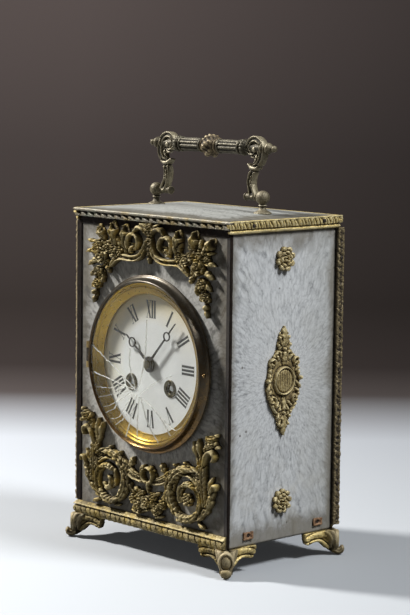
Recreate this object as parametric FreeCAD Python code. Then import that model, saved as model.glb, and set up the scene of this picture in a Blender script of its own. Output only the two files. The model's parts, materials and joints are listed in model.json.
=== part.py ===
import FreeCAD, Part
import math
import os

# Officers clock: a sheet metal case on four cast feet, with a swinging handle,
# applied gilt mounts, a hinged bezel, a hinged back door and a two train movement.
# Millimetres, +Z up, floor at z = 0, dial towards -Y.

V = FreeCAD.Vector

# Case
CASE_W = 137.0
CASE_D = 88.0
LOWER_FIELD = 48.7
UPPER_FIELD = 36.9
FOOT_H = 16.0
PANEL_T = 1.5
POST = 7.0
POST_FACE = 2.6
BASE_T = 5.0
FRAME_H = 7.5
FRAME_W = 8.0
TOP_T = 1.5
TOP_DOME = 3.0

# Clearances
SLIP = 0.05
GAP = 0.3
END_PLAY = 0.3

# Mouldings, nails and clips
MOULD_OUT = 3.5
MOULD_ROUND = 1.0
TOP_MOULD_H = 5.0
BOTTOM_MOULD_H = 8.0
UPRIGHT_W = 4.0
NAIL_R = 0.6
NAIL_HEAD_R = 1.3
NAIL_PROUD = 2.0
NAIL_EDGE = 21.0
CLIP_W = 10.0
CLIP_H = 5.0
CLIP_T = 1.0
CLIP_HOLE_R = 1.0
CLIP_Z = 6.5
CLIP_Y = (-27.0, 32.0)

# Feet
FOOT_PLATE = 20.0
FOOT_PLATE_T = 2.5
WING_LEN = 22.0
WING_T = 3.5
WING_PROUD = 2.0
WING_TIP_H = 3.5
KNEE_R = 6.0
KNEE_IN = 4.0
ANKLE_R = 3.6
ANKLE_OUT = 0.6
TOE_R = 4.0
TOE_OUT = 4.2
TOE_H = 1.5
FOOT_SCREW_IN = 15.0
FOOT_SCREW_R = 1.2
FOOT_SCREW_HEAD_R = 2.4
FOOT_SCREW_HEAD_H = 1.4

# Handle
POST_INSET = 20.2
HANDLE_Y = 1.5
HANDLE_LEAN = 5.0
PIVOT_H = 11.0
BALL_R = 4.3
PIVOT_R = 1.5
PIVOT_REACH = 2.0
POST_FLANGE_R = 5.5
POST_FLANGE_H = 1.2
POST_NECK_R = 2.2
STUD_R = 2.0
STUD_LEN = 5.0
NUT_R = 4.0
NUT_H = 3.0
ARM_IN = 9.0
ARM_W = 5.5
ARM_T = 3.6
BARREL_R = 3.1
BARREL_LEN = 7.3
GRIP_RISE = 29.5
VOLUTE_R = 6.8
ROD_R = 1.8
SLEEVE_R = 4.2
COLLAR_R = 5.0
COLLAR_W = 2.0
KNOP_R = 7.8
FINIAL_R = 3.4
FINIAL_LEN = 10.5

# Dial and bezel
DIAL_PROUD = 0.65
DIAL_T = 1.2
DIAL_FIT = 0.1
PAN_R = 46.0
PAN_WALL = 1.5
PAN_FLANGE_LAP = 1.7
PAN_FLANGE_T = 1.5
PAN_BACK_T = 1.0
PAN_FOOT_R = 2.0
PAN_FOOT_AT = 32.0
BEZEL_REACH = 5.5
BEZEL_FLARE = 3.2
BEZEL_WALL = 1.3
BEZEL_LIP = 1.6
BEZEL_LIP_T = 1.0
BEZEL_H = 6.0
BEZEL_WAIST = 3.0
GLASS_T = 1.2
SIGHT_LAP = 1.5
SIGHT_T = 0.8
THUMB_R = 1.2
THUMB_OUT = 1.6
WIND_X = 17.8
WIND_DROP = 13.0
WIND_HOLE_R = 4.0
WIND_RIM_W = 1.2
WIND_RIM_H = 0.4
HOUR_HAND_L = 27.0
MINUTE_HAND_L = 37.0
HAND_T = 0.6
HOUR_HAND_W = 1.9
MINUTE_HAND_W = 1.6
HOUR_MOON_AT = 20.0
MINUTE_MOON_AT = 25.5
HOUR_MOON_R = 3.1
MINUTE_MOON_R = 2.9
MOON_BAND = 0.7
HOUR_ANGLE = -53.0
MINUTE_ANGLE = 42.0
HAND_NUT_R = 2.6
HAND_NUT_T = 1.0

# Hinges of the bezel and the back door
KNUCKLE_R = 1.6
KNUCKLE_LEN = 8.0
HINGE_PIN_R = 0.8
HINGE_OUT = 2.2
HINGE_AHEAD = 2.7

# Back door
BACK_RING_IN_R = 37.0
BACK_RING_WALL = 1.5
BACK_RING_R = 45.0
BACK_RING_T = 1.5
DOOR_R = 43.0
DOOR_T = 1.4
DOOR_KNOB_R = 2.5
DOOR_KNOB_L = 3.4
DOOR_KNOB_AT = 37.0
SOUND_HOLE_R = 2.2
SOUND_HOLE_AT = 28.0
SOUND_HOLES = 12

# Movement
MOTION_GAP = 8.5
PLATE_R = 40.0
PLATE_T = 2.5
PLATE_GAP = 30.0
PILLAR_R = 2.5
PILLAR_AT = 36.0
PILLAR_ANGLES = (-90.0, 15.0, 90.0, 165.0)
ARBOR_R = 1.2
PINION_PIVOT_R = 0.7
BARREL_ARBOR_R = 2.2
BARREL_PIVOT_R = 1.6
WIND_SQUARE = 3.2
RATCHET_TEETH = 24
RATCHET_M = 0.5
RATCHET_T = 1.2
DRUM_R = 15.0
DRUM_WALL = 1.2
DRUM_LEN = 20.0
SPRING_T = 0.4
SPRING_PITCH = 0.95
SPRING_TURNS = 4.5
WHEEL_T = 1.0
GREAT_WHEEL_T = 2.0
TRAIN_STEP = 1.4

# Wheel and pinion counts with the module of each pair
GREAT_TEETH, INTER_LEAVES, GREAT_M = 80, 10, 0.4
INTER_TEETH, CENTRE_LEAVES, INTER_M = 72, 8, 0.4
CENTRE_TEETH, THIRD_LEAVES, CENTRE_M = 80, 10, 0.35
THIRD_TEETH, FOURTH_LEAVES, THIRD_M = 75, 10, 0.3
FOURTH_TEETH, FOURTH_M = 60, 0.3
CANNON_TEETH, MINUTE_TEETH, CANNON_M = 12, 36, 0.5
MINUTE_LEAVES, HOUR_TEETH = 10, 40
TOOTH_TIP = 0.75
TOOTH_ROOT = 1.15
TIP_SHARE = 0.10
ROOT_SHARE = 0.29
THIRD_ANGLE = 100.0
FOURTH_ANGLE = 150.0
ESCAPE_ANGLE = 60.0
BALANCE_ANGLE = 195.0
MINUTE_ANGLE_AT = 90.0
CANNON_R = 2.0
HOUR_PIPE_R = 3.0
PIPE_FIT = 0.08
ESCAPE_R = 5.0
ESCAPE_TEETH = 15
ESCAPE_STAFF_R = 0.9
BALANCE_R = 8.0
BALANCE_RIM = 1.2
COCK_T = 1.6
COCK_GAP = 7.0
COCK_FOOT_R = 2.2

# Bell and hammer
BELL_R = 20.0
BELL_DEPTH = 11.0
BELL_WALL = 1.5
BELL_DROP = 14.0
BELL_STAND_OFF = 4.0
BELL_POST_R = 2.2
BELL_RIVET_R = 3.6
BELL_RIVET_T = 2.0
HAMMER_R = 3.0
HAMMER_LEN = 7.0
HAMMER_STEM_W = 2.4
HAMMER_RISE = 24.0
HAMMER_PIVOT_R = 1.5
HAMMER_CLEAR = 0.8

# Applied mounts
STEM_RELIEF = 3.0
SPRIG_RELIEF = 2.6
LEAF_RELIEF = 3.8
BLOOM_RELIEF = 4.7
CREST_RELIEF = 4.2
STEM_W = 5.0
STEM_TIP_W = 3.0
LEAF_W = 7.0
SCROLL_FIELD = 40.7
ROSETTE_R = 7.5
ROSETTE_H = 2.4
ROSETTE_OFF = 74.0
CARTOUCHE_H = 66.0
CARTOUCHE_W = 31.0
CARTOUCHE_BOSS_R = 8.5

# Planes and heights worked out from the sizes above
HALF_W = CASE_W / 2
HALF_D = CASE_D / 2
BEZEL_RIM_R = PAN_R + BEZEL_REACH
BEZEL_BASE_R = BEZEL_RIM_R + BEZEL_FLARE
PAN_FLANGE_R = BEZEL_BASE_R - PAN_FLANGE_LAP
SIGHT_IN_R = PAN_R - PAN_WALL - SIGHT_LAP
CASE_H = LOWER_FIELD + 2 * BEZEL_BASE_R + UPPER_FIELD
DIAL_HEIGHT = LOWER_FIELD + BEZEL_BASE_R
Z_BASE = FOOT_H
Z_TOP = FOOT_H + CASE_H
Z_FRAME_TOP = Z_TOP - TOP_T
Z_FRAME = Z_FRAME_TOP - FRAME_H
Z_DIAL = Z_BASE + DIAL_HEIGHT
FRONT = -HALF_D
DIAL_Y = FRONT - DIAL_PROUD
PAN_BACK_Y = DIAL_Y + DIAL_T
PLATE_FRONT_Y = PAN_BACK_Y + PAN_BACK_T + MOTION_GAP
TRAIN_FRONT_Y = PLATE_FRONT_Y + PLATE_T
TRAIN_BACK_Y = TRAIN_FRONT_Y + PLATE_GAP
PLATE_BACK_Y = TRAIN_BACK_Y + PLATE_T
BEZEL_BACK = PAN_FLANGE_T + GAP
BEZEL_FRONT = BEZEL_BACK + BEZEL_H
POST_X = HALF_W - POST_INSET


def box(x0, x1, y0, y1, z0, z1):
    return Part.makeBox(x1 - x0, y1 - y0, z1 - z0, V(x0, y0, z0))


def rod(x, z, y0, y1, radius):
    """A round bar along Y, at (x, z) from the dial centre."""
    return Part.makeCylinder(radius, y1 - y0, V(x, y0, Z_DIAL + z), V(0, 1, 0))


def tube(x, z, y0, y1, outer, inner):
    return rod(x, z, y0, y1, outer).cut(rod(x, z, y0, y1, inner))


def fuse(shapes):
    solid = shapes[0]
    for other in shapes[1:]:
        solid = solid.fuse(other)
    return solid.removeSplitter()


def polygon(points):
    return Part.Face(Part.makePolygon(points + [points[0]]))


def turned(profile, centre, axis):
    """A solid of revolution: profile is a list of (radius, distance along axis)."""
    points = [V(radius, 0, along) for radius, along in profile]
    solid = polygon(points).revolve(V(0, 0, 0), V(0, 0, 1), 360)
    solid.Placement = FreeCAD.Placement(centre, FreeCAD.Rotation(V(0, 0, 1), axis))
    return solid


def about_z(shape, degrees):
    copy = shape.copy()
    copy.rotate(V(0, 0, 0), V(0, 0, 1), degrees)
    return copy


def mirrored_x(shape):
    return shape.mirror(V(0, 0, 0), V(1, 0, 0))


def save(name, *solids):
    shape = solids[0] if len(solids) == 1 else Part.makeCompound(list(solids))
    count = len(shape.Solids)
    if count != len(solids) or not shape.isValid():
        print("check", name, count, "solids for", len(solids), "valid", shape.isValid())
    shape.exportStep("parts/" + name + ".step")


def dome_rise(x, y):
    """Height of the top panel above its rim."""
    return TOP_DOME * (1 - (x / HALF_W) ** 2) * (1 - (y / HALF_D) ** 2)


# Case shell
def corners():
    return [(side, end) for side in (-1, 1) for end in (-1, 1)]


def corner_posts():
    section = [(0, 0), (POST_FACE, 0), (POST_FACE, PANEL_T), (POST, PANEL_T),
               (POST, POST), (PANEL_T, POST), (PANEL_T, POST_FACE), (0, POST_FACE)]
    posts = []
    for side, end in corners():
        points = [V(side * (HALF_W - a), end * (HALF_D - b), Z_BASE) for a, b in section]
        posts.append(polygon(points).extrude(V(0, 0, Z_FRAME - Z_BASE)))
    return posts


def base_plate():
    plate = box(PANEL_T - HALF_W, HALF_W - PANEL_T, PANEL_T - HALF_D, HALF_D - PANEL_T,
                Z_BASE, Z_BASE + BASE_T)
    for side, end in corners():
        x, y = side * HALF_W, end * HALF_D
        notch = box(min(x, x - side * POST), max(x, x - side * POST),
                    min(y, y - end * POST), max(y, y - end * POST), Z_BASE, Z_BASE + BASE_T)
        plate = plate.cut(notch).cut(foot_screw(side, end, SLIP))
    return plate


def foot_screw(side, end, extra=0.0):
    x = side * (HALF_W - FOOT_SCREW_IN)
    y = end * (HALF_D - FOOT_SCREW_IN)
    seat = Z_BASE - FOOT_PLATE_T
    shank = Part.makeCylinder(FOOT_SCREW_R + extra, FOOT_PLATE_T + BASE_T, V(x, y, seat))
    head = Part.makeCylinder(FOOT_SCREW_HEAD_R + extra, FOOT_SCREW_HEAD_H,
                             V(x, y, seat - FOOT_SCREW_HEAD_H))
    return shank.fuse(head)


def side_panel(side):
    outer, inner = side * HALF_W, side * (HALF_W - PANEL_T)
    reach = HALF_D - POST_FACE
    return box(min(outer, inner), max(outer, inner), -reach, reach, Z_BASE, Z_FRAME)


def end_panel(end, hole_radius):
    outer, inner = end * HALF_D, end * (HALF_D - PANEL_T)
    reach = HALF_W - POST_FACE
    y0, y1 = min(outer, inner), max(outer, inner)
    sheet = box(-reach, reach, y0, y1, Z_BASE, Z_FRAME)
    return sheet.cut(rod(0, 0, y0, y1, hole_radius))


def top_frame():
    ring = box(-HALF_W, HALF_W, -HALF_D, HALF_D, Z_FRAME, Z_FRAME_TOP)
    in_x, in_y = HALF_W - FRAME_W, HALF_D - FRAME_W
    return ring.cut(box(-in_x, in_x, -in_y, in_y, Z_FRAME, Z_FRAME_TOP))


def top_sheet():
    """A thin sheet whose rim is flat and whose middle rises by TOP_DOME."""
    patch = Part.BezierSurface()
    patch.increase(2, 2)
    for i, x in enumerate((-HALF_W, 0, HALF_W)):
        for j, y in enumerate((-HALF_D, 0, HALF_D)):
            middle = i == 1 and j == 1
            rise = 4 * TOP_DOME if middle else 0.0
            patch.setPole(i + 1, j + 1, V(x, y, Z_FRAME_TOP + rise))
    return patch.toShape().extrude(V(0, 0, TOP_T))


# Mouldings, nails and clips
def strip(half_len, offset, z0, z1, mitre_left, mitre_right):
    """A moulding on a face at y = -offset, mitred where it turns a corner."""
    left = half_len + (MOULD_OUT if mitre_left else 0.0)
    right = half_len + (MOULD_OUT if mitre_right else 0.0)
    flat = MOULD_OUT - MOULD_ROUND
    x = -half_len - MOULD_OUT
    a = V(x, -offset, z0)
    b = V(x, -offset - flat, z0)
    crown = V(x, -offset - MOULD_OUT, (z0 + z1) / 2)
    c = V(x, -offset - flat, z1)
    d = V(x, -offset, z1)
    edges = [Part.LineSegment(a, b), Part.Arc(b, crown, c),
             Part.LineSegment(c, d), Part.LineSegment(d, a)]
    section = Part.Face(Part.Wire([edge.toShape() for edge in edges]))
    bar = section.extrude(V(2 * (half_len + MOULD_OUT), 0, 0))
    plan = [V(-half_len, -offset, z0), V(half_len, -offset, z0),
            V(right, -offset - MOULD_OUT, z0), V(-left, -offset - MOULD_OUT, z0)]
    return bar.common(polygon(plan).extrude(V(0, 0, z1 - z0)))


def top_mouldings():
    z0 = Z_TOP - TOP_MOULD_H
    long_side = strip(HALF_W, HALF_D, z0, Z_TOP, True, True)
    short_side = strip(HALF_D, HALF_W, z0, Z_TOP, True, True)
    return [long_side, about_z(short_side, 90), about_z(long_side, 180), about_z(short_side, 270)]


def bottom_mouldings():
    z1 = Z_BASE + BOTTOM_MOULD_H
    front = strip(HALF_W, HALF_D, Z_BASE, z1, True, False)
    left = about_z(strip(HALF_D, HALF_W, Z_BASE, z1, True, True), 270)
    back = about_z(strip(HALF_W, HALF_D, Z_BASE, z1, False, True), 180)
    return [front, left, back]


def uprights():
    z0, z1 = Z_BASE + BOTTOM_MOULD_H, Z_TOP - TOP_MOULD_H
    left_x, back_y = -HALF_W - MOULD_OUT, HALF_D
    bars = [box(left_x, -HALF_W, FRONT, FRONT + UPRIGHT_W, z0, z1),
            box(left_x, -HALF_W, HALF_D - UPRIGHT_W, HALF_D, z0, z1),
            box(HALF_W - UPRIGHT_W, HALF_W, back_y, back_y + MOULD_OUT, z0, z1),
            box(-HALF_W, UPRIGHT_W - HALF_W, back_y, back_y + MOULD_OUT, z0, z1)]
    for nail in nails(SLIP):
        bars = [bar.cut(nail) for bar in bars]
    return bars


def nails(extra=0.0):
    """Nails in the two left hand uprights, their heads standing proud."""
    made = []
    face = -HALF_W - MOULD_OUT
    low, high = Z_BASE + BOTTOM_MOULD_H + NAIL_EDGE, Z_TOP - TOP_MOULD_H - NAIL_EDGE
    for y in (FRONT + UPRIGHT_W / 2, HALF_D - UPRIGHT_W / 2):
        for z in (low, (low + high) / 2, high):
            shank = Part.makeCylinder(NAIL_R + extra, MOULD_OUT + NAIL_PROUD,
                                      V(-HALF_W, y, z), V(-1, 0, 0))
            head_at = V(face - NAIL_PROUD, y, z)
            inner, outer = [Part.makeCone(NAIL_HEAD_R, NAIL_R, NAIL_HEAD_R, head_at, V(way, 0, 0))
                            for way in (1, -1)]
            made.append(shank if extra else fuse([shank, inner, outer]))
    return made


def panel_clip(y):
    z = Z_BASE + CLIP_Z
    tab = box(HALF_W, HALF_W + CLIP_T, y - CLIP_W / 2, y + CLIP_W / 2,
              z - CLIP_H / 2, z + CLIP_H / 2)
    return tab.cut(Part.makeCylinder(CLIP_HOLE_R, CLIP_T, V(HALF_W, y, z), V(1, 0, 0)))


# Feet
def foot(side, end):
    """A cast bracket foot, made for the +x +y corner and then mirrored."""
    seat = Z_BASE - FOOT_PLATE_T
    plate = box(HALF_W - FOOT_PLATE, HALF_W, HALF_D - FOOT_PLATE, HALF_D, seat, Z_BASE)
    stations = ((seat + FOOT_PLATE_T / 2, KNEE_R, -KNEE_IN), (FOOT_H / 2, ANKLE_R, ANKLE_OUT),
                (TOE_H, TOE_R, TOE_OUT))
    rings = []
    for z, radius, out in stations:
        circle = Part.Circle(V(HALF_W + out, HALF_D + out, z), V(0, 0, 1), radius)
        rings.append(Part.Wire(circle.toShape()))
    leg = Part.makeLoft(rings, True)
    toe = Part.makeCylinder(TOE_R, TOE_H, V(HALF_W + TOE_OUT, HALF_D + TOE_OUT, 0))
    solid = fuse([plate, leg, toe, foot_wing(), foot_wing_across()])
    solid = solid.cut(foot_screw(1, 1, SLIP))
    if side < 0:
        solid = solid.mirror(V(0, 0, 0), V(1, 0, 0))
    if end < 0:
        solid = solid.mirror(V(0, 0, 0), V(0, 1, 0))
    return solid


def wing_outline(at):
    """Side view of a wing: at(u, z) places a point u inwards from the corner."""
    middle = FOOT_H / 2
    tip = Z_BASE - WING_TIP_H
    start, foot_end = at(-WING_PROUD, Z_BASE), at(-WING_PROUD, middle)
    end_top, end_low = at(WING_LEN, Z_BASE), at(WING_LEN, tip)
    sag = at(WING_LEN / 2, (tip * 3 + middle) / 4)
    edges = [Part.LineSegment(start, end_top), Part.LineSegment(end_top, end_low),
             Part.Arc(end_low, sag, foot_end), Part.LineSegment(foot_end, start)]
    return Part.Face(Part.Wire([edge.toShape() for edge in edges]))


def foot_wing():
    face = wing_outline(lambda u, z: V(HALF_W - u, HALF_D + WING_PROUD, z))
    return face.extrude(V(0, -WING_T, 0))


def foot_wing_across():
    face = wing_outline(lambda u, z: V(HALF_W + WING_PROUD, HALF_D - u, z))
    return face.extrude(V(-WING_T, 0, 0))


# Handle
PIVOT_Z = Z_TOP + PIVOT_H
GRIP_Z = PIVOT_Z + GRIP_RISE
ARM_X = POST_X - ARM_IN


def leaned(shape):
    copy = shape.copy()
    copy.rotate(V(0, HANDLE_Y, PIVOT_Z), V(1, 0, 0), -HANDLE_LEAN)
    return copy


def along_x(x0, x1, z, radius):
    return Part.makeCylinder(radius, x1 - x0, V(x0, HANDLE_Y, z), V(1, 0, 0))


def pivot_pin(extra=0.0):
    reach = POST_X + PIVOT_REACH + (END_PLAY if extra else 0.0)
    return along_x(POST_X - BALL_R - BARREL_LEN, reach, PIVOT_Z, PIVOT_R + extra)


def handle_post():
    """Flange, neck and ball on a stud that passes through the top panel."""
    seat = Z_TOP + dome_rise(POST_X - POST_FLANGE_R, 0.0)
    profile = [(0, seat), (POST_FLANGE_R, seat), (POST_FLANGE_R, seat + POST_FLANGE_H),
               (POST_NECK_R, seat + 2 * POST_FLANGE_H), (POST_NECK_R, PIVOT_Z), (0, PIVOT_Z)]
    stem = turned(profile, V(POST_X, HANDLE_Y, 0), V(0, 0, 1))
    ball = Part.makeSphere(BALL_R, V(POST_X, HANDLE_Y, PIVOT_Z))
    stud = stud_cylinder(0.0)
    return fuse([stem, ball, stud]).cut(pivot_pin(SLIP))


def stud_cylinder(extra):
    top = Z_TOP + dome_rise(POST_X, HANDLE_Y) + POST_FLANGE_H
    length = POST_FLANGE_H + TOP_T + STUD_LEN
    return Part.makeCylinder(STUD_R + extra, length, V(POST_X, HANDLE_Y, top - length))


def post_nut():
    under = Z_FRAME_TOP + dome_rise(POST_X + NUT_R, HANDLE_Y)
    nut = Part.makeCylinder(NUT_R, NUT_H, V(POST_X, HANDLE_Y, under - NUT_H))
    return nut.cut(stud_cylinder(SLIP))


def arc_band(start, middle, end, width):
    """A band of even width that follows an arc, in the plane of the handle."""
    circle = Part.Arc(start, middle, end).toShape().Curve
    centre, radius = circle.Center, circle.Radius
    outer, inner = radius + width / 2, radius - width / 2
    at = lambda point, reach: centre + (point - centre) * (reach / radius)
    edges = [Part.Arc(at(start, outer), at(middle, outer), at(end, outer)),
             Part.LineSegment(at(end, outer), at(end, inner)),
             Part.Arc(at(end, inner), at(middle, inner), at(start, inner)),
             Part.LineSegment(at(start, inner), at(start, outer))]
    return Part.Face(Part.Wire([edge.toShape() for edge in edges]))


def handle_arm():
    """S shaped arm: barrel at the pivot, bowed shank, volute on the grip."""
    y = HANDLE_Y - ARM_W / 2
    inner = POST_X - BALL_R - GAP
    barrel = along_x(inner - BARREL_LEN, inner, PIVOT_Z, BARREL_R)
    root_x = inner - BARREL_LEN / 2
    neck_z = GRIP_Z - VOLUTE_R - ARM_T / 2
    low = V(root_x, y, PIVOT_Z + BARREL_R / 2)
    bow = V(ARM_X - ARM_T, y, (PIVOT_Z + neck_z) / 2)
    neck = V(ARM_X - ARM_T / 2, y, neck_z)
    outside = V(ARM_X + VOLUTE_R - ARM_T / 2, y, GRIP_Z - ARM_T / 2)
    turn = V(ARM_X + VOLUTE_R / 2, y, neck_z + ARM_T / 2)
    width = V(0, ARM_W, 0)
    shank = arc_band(low, bow, neck, ARM_T).extrude(width)
    hook = arc_band(neck, turn, outside, ARM_T).extrude(width)
    volute = Part.makeCylinder(VOLUTE_R, ARM_W, V(ARM_X, y, GRIP_Z), V(0, 1, 0))
    solid = fuse([barrel, shank, hook, volute, pivot_pin()])
    return solid.cut(along_x(-HALF_W, HALF_W, GRIP_Z, ROD_R + SLIP))


def grip_rod():
    reach = ARM_X + VOLUTE_R + FINIAL_LEN / 2
    return along_x(-reach, reach, GRIP_Z, ROD_R)


def grip_sleeve():
    """Sleeve between the arm and the knop, with a collar at each end."""
    start, end = KNOP_R, ARM_X - VOLUTE_R - GAP
    profile = [(ROD_R + SLIP, start), (COLLAR_R, start), (COLLAR_R, start + COLLAR_W),
               (SLEEVE_R, start + COLLAR_W), (SLEEVE_R, end - COLLAR_W),
               (COLLAR_R, end - COLLAR_W), (COLLAR_R, end), (ROD_R + SLIP, end)]
    return turned(profile, V(0, HANDLE_Y, GRIP_Z), V(1, 0, 0))


def grip_knop():
    ball = Part.makeSphere(KNOP_R, V(0, HANDLE_Y, GRIP_Z))
    ball = ball.cut(grip_sleeve()).cut(mirrored_x(grip_sleeve()))
    return ball.cut(along_x(-KNOP_R, KNOP_R, GRIP_Z, ROD_R + SLIP))


def grip_finial():
    start = ARM_X + VOLUTE_R + GAP
    end = start + FINIAL_LEN
    wide = start + FINIAL_LEN / 4
    profile = [(0, start), (FINIAL_R / 2, start), (FINIAL_R, wide),
               (FINIAL_R / 2, start + FINIAL_LEN / 2), (FINIAL_R / 2, end - FINIAL_R / 2), (0, end)]
    finial = turned(profile, V(0, HANDLE_Y, GRIP_Z), V(1, 0, 0))
    return finial.cut(along_x(0, ARM_X + VOLUTE_R + FINIAL_LEN / 2 + SLIP, GRIP_Z, ROD_R + SLIP))


# Hinges: a vertical axis beside a round cover, seen from outside the face
class Hinge:
    def __init__(self, x, outward, face_y, reach):
        self.x = x
        self.y = face_y + outward * HINGE_AHEAD
        self.outward = outward
        self.face_y = face_y
        self.reach = reach

    def cylinder(self, radius, z0, z1):
        return Part.makeCylinder(radius, z1 - z0, V(self.x, self.y, Z_DIAL + z0))

    def leaf(self, d0, d1, z0, z1):
        """A flat tab from the knuckle to the cover, d0 to d1 ahead of the face."""
        inner = math.copysign(self.reach, self.x)
        ys = sorted((self.face_y + self.outward * d0, self.face_y + self.outward * d1))
        xs = sorted((self.x, inner))
        return box(xs[0], xs[1], ys[0], ys[1], Z_DIAL + z0, Z_DIAL + z1)

    def moving(self, d0, d1):
        half = KNUCKLE_LEN / 2
        return [self.cylinder(KNUCKLE_R, -half, half), self.leaf(d0, d1, -half, half)]

    def fixed(self, d1):
        half, low = KNUCKLE_LEN / 2, KNUCKLE_LEN / 2 + GAP
        made = []
        for z0, z1 in ((low, low + half), (-low - half, -low)):
            made += [self.cylinder(KNUCKLE_R, z0, z1), self.leaf(0.0, d1, z0, z1)]
        return made

    def bore(self):
        reach = KNUCKLE_LEN + GAP
        return self.cylinder(HINGE_PIN_R + SLIP, -reach, reach)

    def pin(self):
        reach = KNUCKLE_LEN + GAP
        return self.cylinder(HINGE_PIN_R, -reach, reach)


BEZEL_HINGE = Hinge(-BEZEL_BASE_R - HINGE_OUT, -1, FRONT, PAN_FLANGE_R - PAN_FLANGE_T)
DOOR_HINGE = Hinge(-BACK_RING_R - HINGE_OUT, 1, HALF_D, DOOR_R - BACK_RING_T)


# Dial, bezel and hands
def ahead(profile):
    """Turned about the dial axis, from (radius, distance ahead of the front panel)."""
    return turned(profile, V(0, FRONT, Z_DIAL), V(0, -1, 0))


def wind_points():
    return [(WIND_X, -WIND_DROP), (-WIND_X, -WIND_DROP)]


def dial_pan():
    back = PAN_BACK_Y + PAN_BACK_T
    wall_in = PAN_R - PAN_WALL
    flange = tube(0, 0, FRONT - PAN_FLANGE_T, FRONT, PAN_FLANGE_R, wall_in)
    wall = tube(0, 0, FRONT, back, PAN_R, wall_in)
    disc = rod(0, 0, PAN_BACK_Y, back, PAN_R)
    feet = []
    for angle in PILLAR_ANGLES[1:]:
        x = PAN_FOOT_AT * math.cos(math.radians(angle))
        z = PAN_FOOT_AT * math.sin(math.radians(angle))
        feet.append(rod(x, z, back, PLATE_FRONT_Y, PAN_FOOT_R))
    pan = fuse([flange, wall, disc] + feet + BEZEL_HINGE.fixed(PAN_FLANGE_T))
    pan = pan.cut(BEZEL_HINGE.bore()).cut(rod(0, 0, PAN_BACK_Y, back, HOUR_PIPE_R + GAP))
    for x, z in wind_points():
        pan = pan.cut(rod(x, z, PAN_BACK_Y, back, WIND_HOLE_R))
    return pan


def dial():
    disc = rod(0, 0, DIAL_Y, PAN_BACK_Y, PAN_R - PAN_WALL - DIAL_FIT)
    disc = disc.cut(rod(0, 0, DIAL_Y, PAN_BACK_Y, HOUR_PIPE_R + GAP))
    rims = []
    for x, z in wind_points():
        rims.append(rod(x, z, DIAL_Y - WIND_RIM_H, DIAL_Y, WIND_HOLE_R + WIND_RIM_W))
    disc = fuse([disc] + rims)
    for x, z in wind_points():
        disc = disc.cut(rod(x, z, DIAL_Y - WIND_RIM_H, PAN_BACK_Y, WIND_HOLE_R))
    return disc


def bezel():
    """Ogee ring with a lip in front of the glass, a thumb piece and hinge leaf."""
    bore = BEZEL_RIM_R - BEZEL_WALL
    waist = BEZEL_BACK + BEZEL_WAIST
    profile = [(bore, BEZEL_BACK), (BEZEL_BASE_R, BEZEL_BACK),
               (BEZEL_BASE_R, BEZEL_BACK + BEZEL_WALL / 2), (BEZEL_RIM_R + BEZEL_WALL / 2, waist),
               (BEZEL_RIM_R, waist + BEZEL_WALL), (BEZEL_RIM_R, BEZEL_FRONT),
               (bore - BEZEL_LIP, BEZEL_FRONT), (bore - BEZEL_LIP, BEZEL_FRONT - BEZEL_LIP_T),
               (bore, BEZEL_FRONT - BEZEL_LIP_T)]
    thumb_at = V(BEZEL_RIM_R - BEZEL_WALL / 2, FRONT - BEZEL_FRONT + THUMB_R + GAP, Z_DIAL)
    thumb = Part.makeCylinder(THUMB_R, BEZEL_BASE_R - BEZEL_RIM_R + THUMB_OUT, thumb_at, V(1, 0, 0))
    leaf = BEZEL_HINGE.moving(BEZEL_BACK, BEZEL_BACK + BEZEL_WALL)
    ring = fuse([ahead(profile), thumb] + leaf)
    return ring.cut(BEZEL_HINGE.bore())


def glass_back():
    return BEZEL_FRONT - BEZEL_LIP_T - GLASS_T


def bezel_glass():
    radius = BEZEL_RIM_R - BEZEL_WALL - DIAL_FIT
    return rod(0, 0, FRONT - glass_back() - GLASS_T, FRONT - glass_back(), radius)


def sight_ring():
    """Polished cone between the glass and the dial."""
    outer = BEZEL_RIM_R - BEZEL_WALL - DIAL_FIT
    top, low = glass_back(), BEZEL_BACK + SIGHT_T / 2
    profile = [(outer, top), (SIGHT_IN_R, low), (SIGHT_IN_R, BEZEL_BACK),
               (SIGHT_IN_R + SIGHT_T, BEZEL_BACK), (outer, top - SIGHT_T)]
    return ahead(profile)


HOUR_HAND_Y = DIAL_Y - WIND_RIM_H - 2 * HAND_T
MINUTE_HAND_Y = HOUR_HAND_Y - 2 * HAND_T


def hand(y, length, width, moon_at, moon_r, eye_r, degrees):
    """Pointer with an open moon, straight up before it is turned on the dial."""
    tail = eye_r + width
    point = lambda x, z: V(x, y, Z_DIAL + z)
    half, tip = width / 2, width / 6
    blade = polygon([point(-half, 0), point(half, 0), point(tip, length), point(-tip, length)])
    blade = blade.extrude(V(0, HAND_T, 0))
    moon = rod(0, moon_at, y, y + HAND_T, moon_r)
    eye = rod(0, 0, y, y + HAND_T, tail)
    solid = fuse([blade, moon, eye])
    solid = solid.cut(rod(0, moon_at, y, y + HAND_T, moon_r - MOON_BAND))
    solid = solid.cut(rod(0, 0, y, y + HAND_T, eye_r))
    solid.rotate(V(0, 0, Z_DIAL), V(0, 1, 0), degrees)
    return solid


# Wheels of the movement
def gear(x, z, y0, thick, teeth, module, centred_on, tooth=True):
    """Wheel with straight sided teeth; a tooth or a gap lies on the angle centred_on."""
    pitch_r = teeth * module / 2
    step = 2 * math.pi / teeth
    start = math.radians(centred_on) + (0.0 if tooth else step / 2)
    outline = ((pitch_r - TOOTH_ROOT * module, -ROOT_SHARE), (pitch_r + TOOTH_TIP * module, -TIP_SHARE),
               (pitch_r + TOOTH_TIP * module, TIP_SHARE), (pitch_r - TOOTH_ROOT * module, ROOT_SHARE))
    points = []
    for k in range(teeth):
        for radius, share in outline:
            angle = start + (k + share) * step
            points.append(V(x + radius * math.cos(angle), y0, Z_DIAL + z + radius * math.sin(angle)))
    return polygon(points).extrude(V(0, thick, 0))


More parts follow.
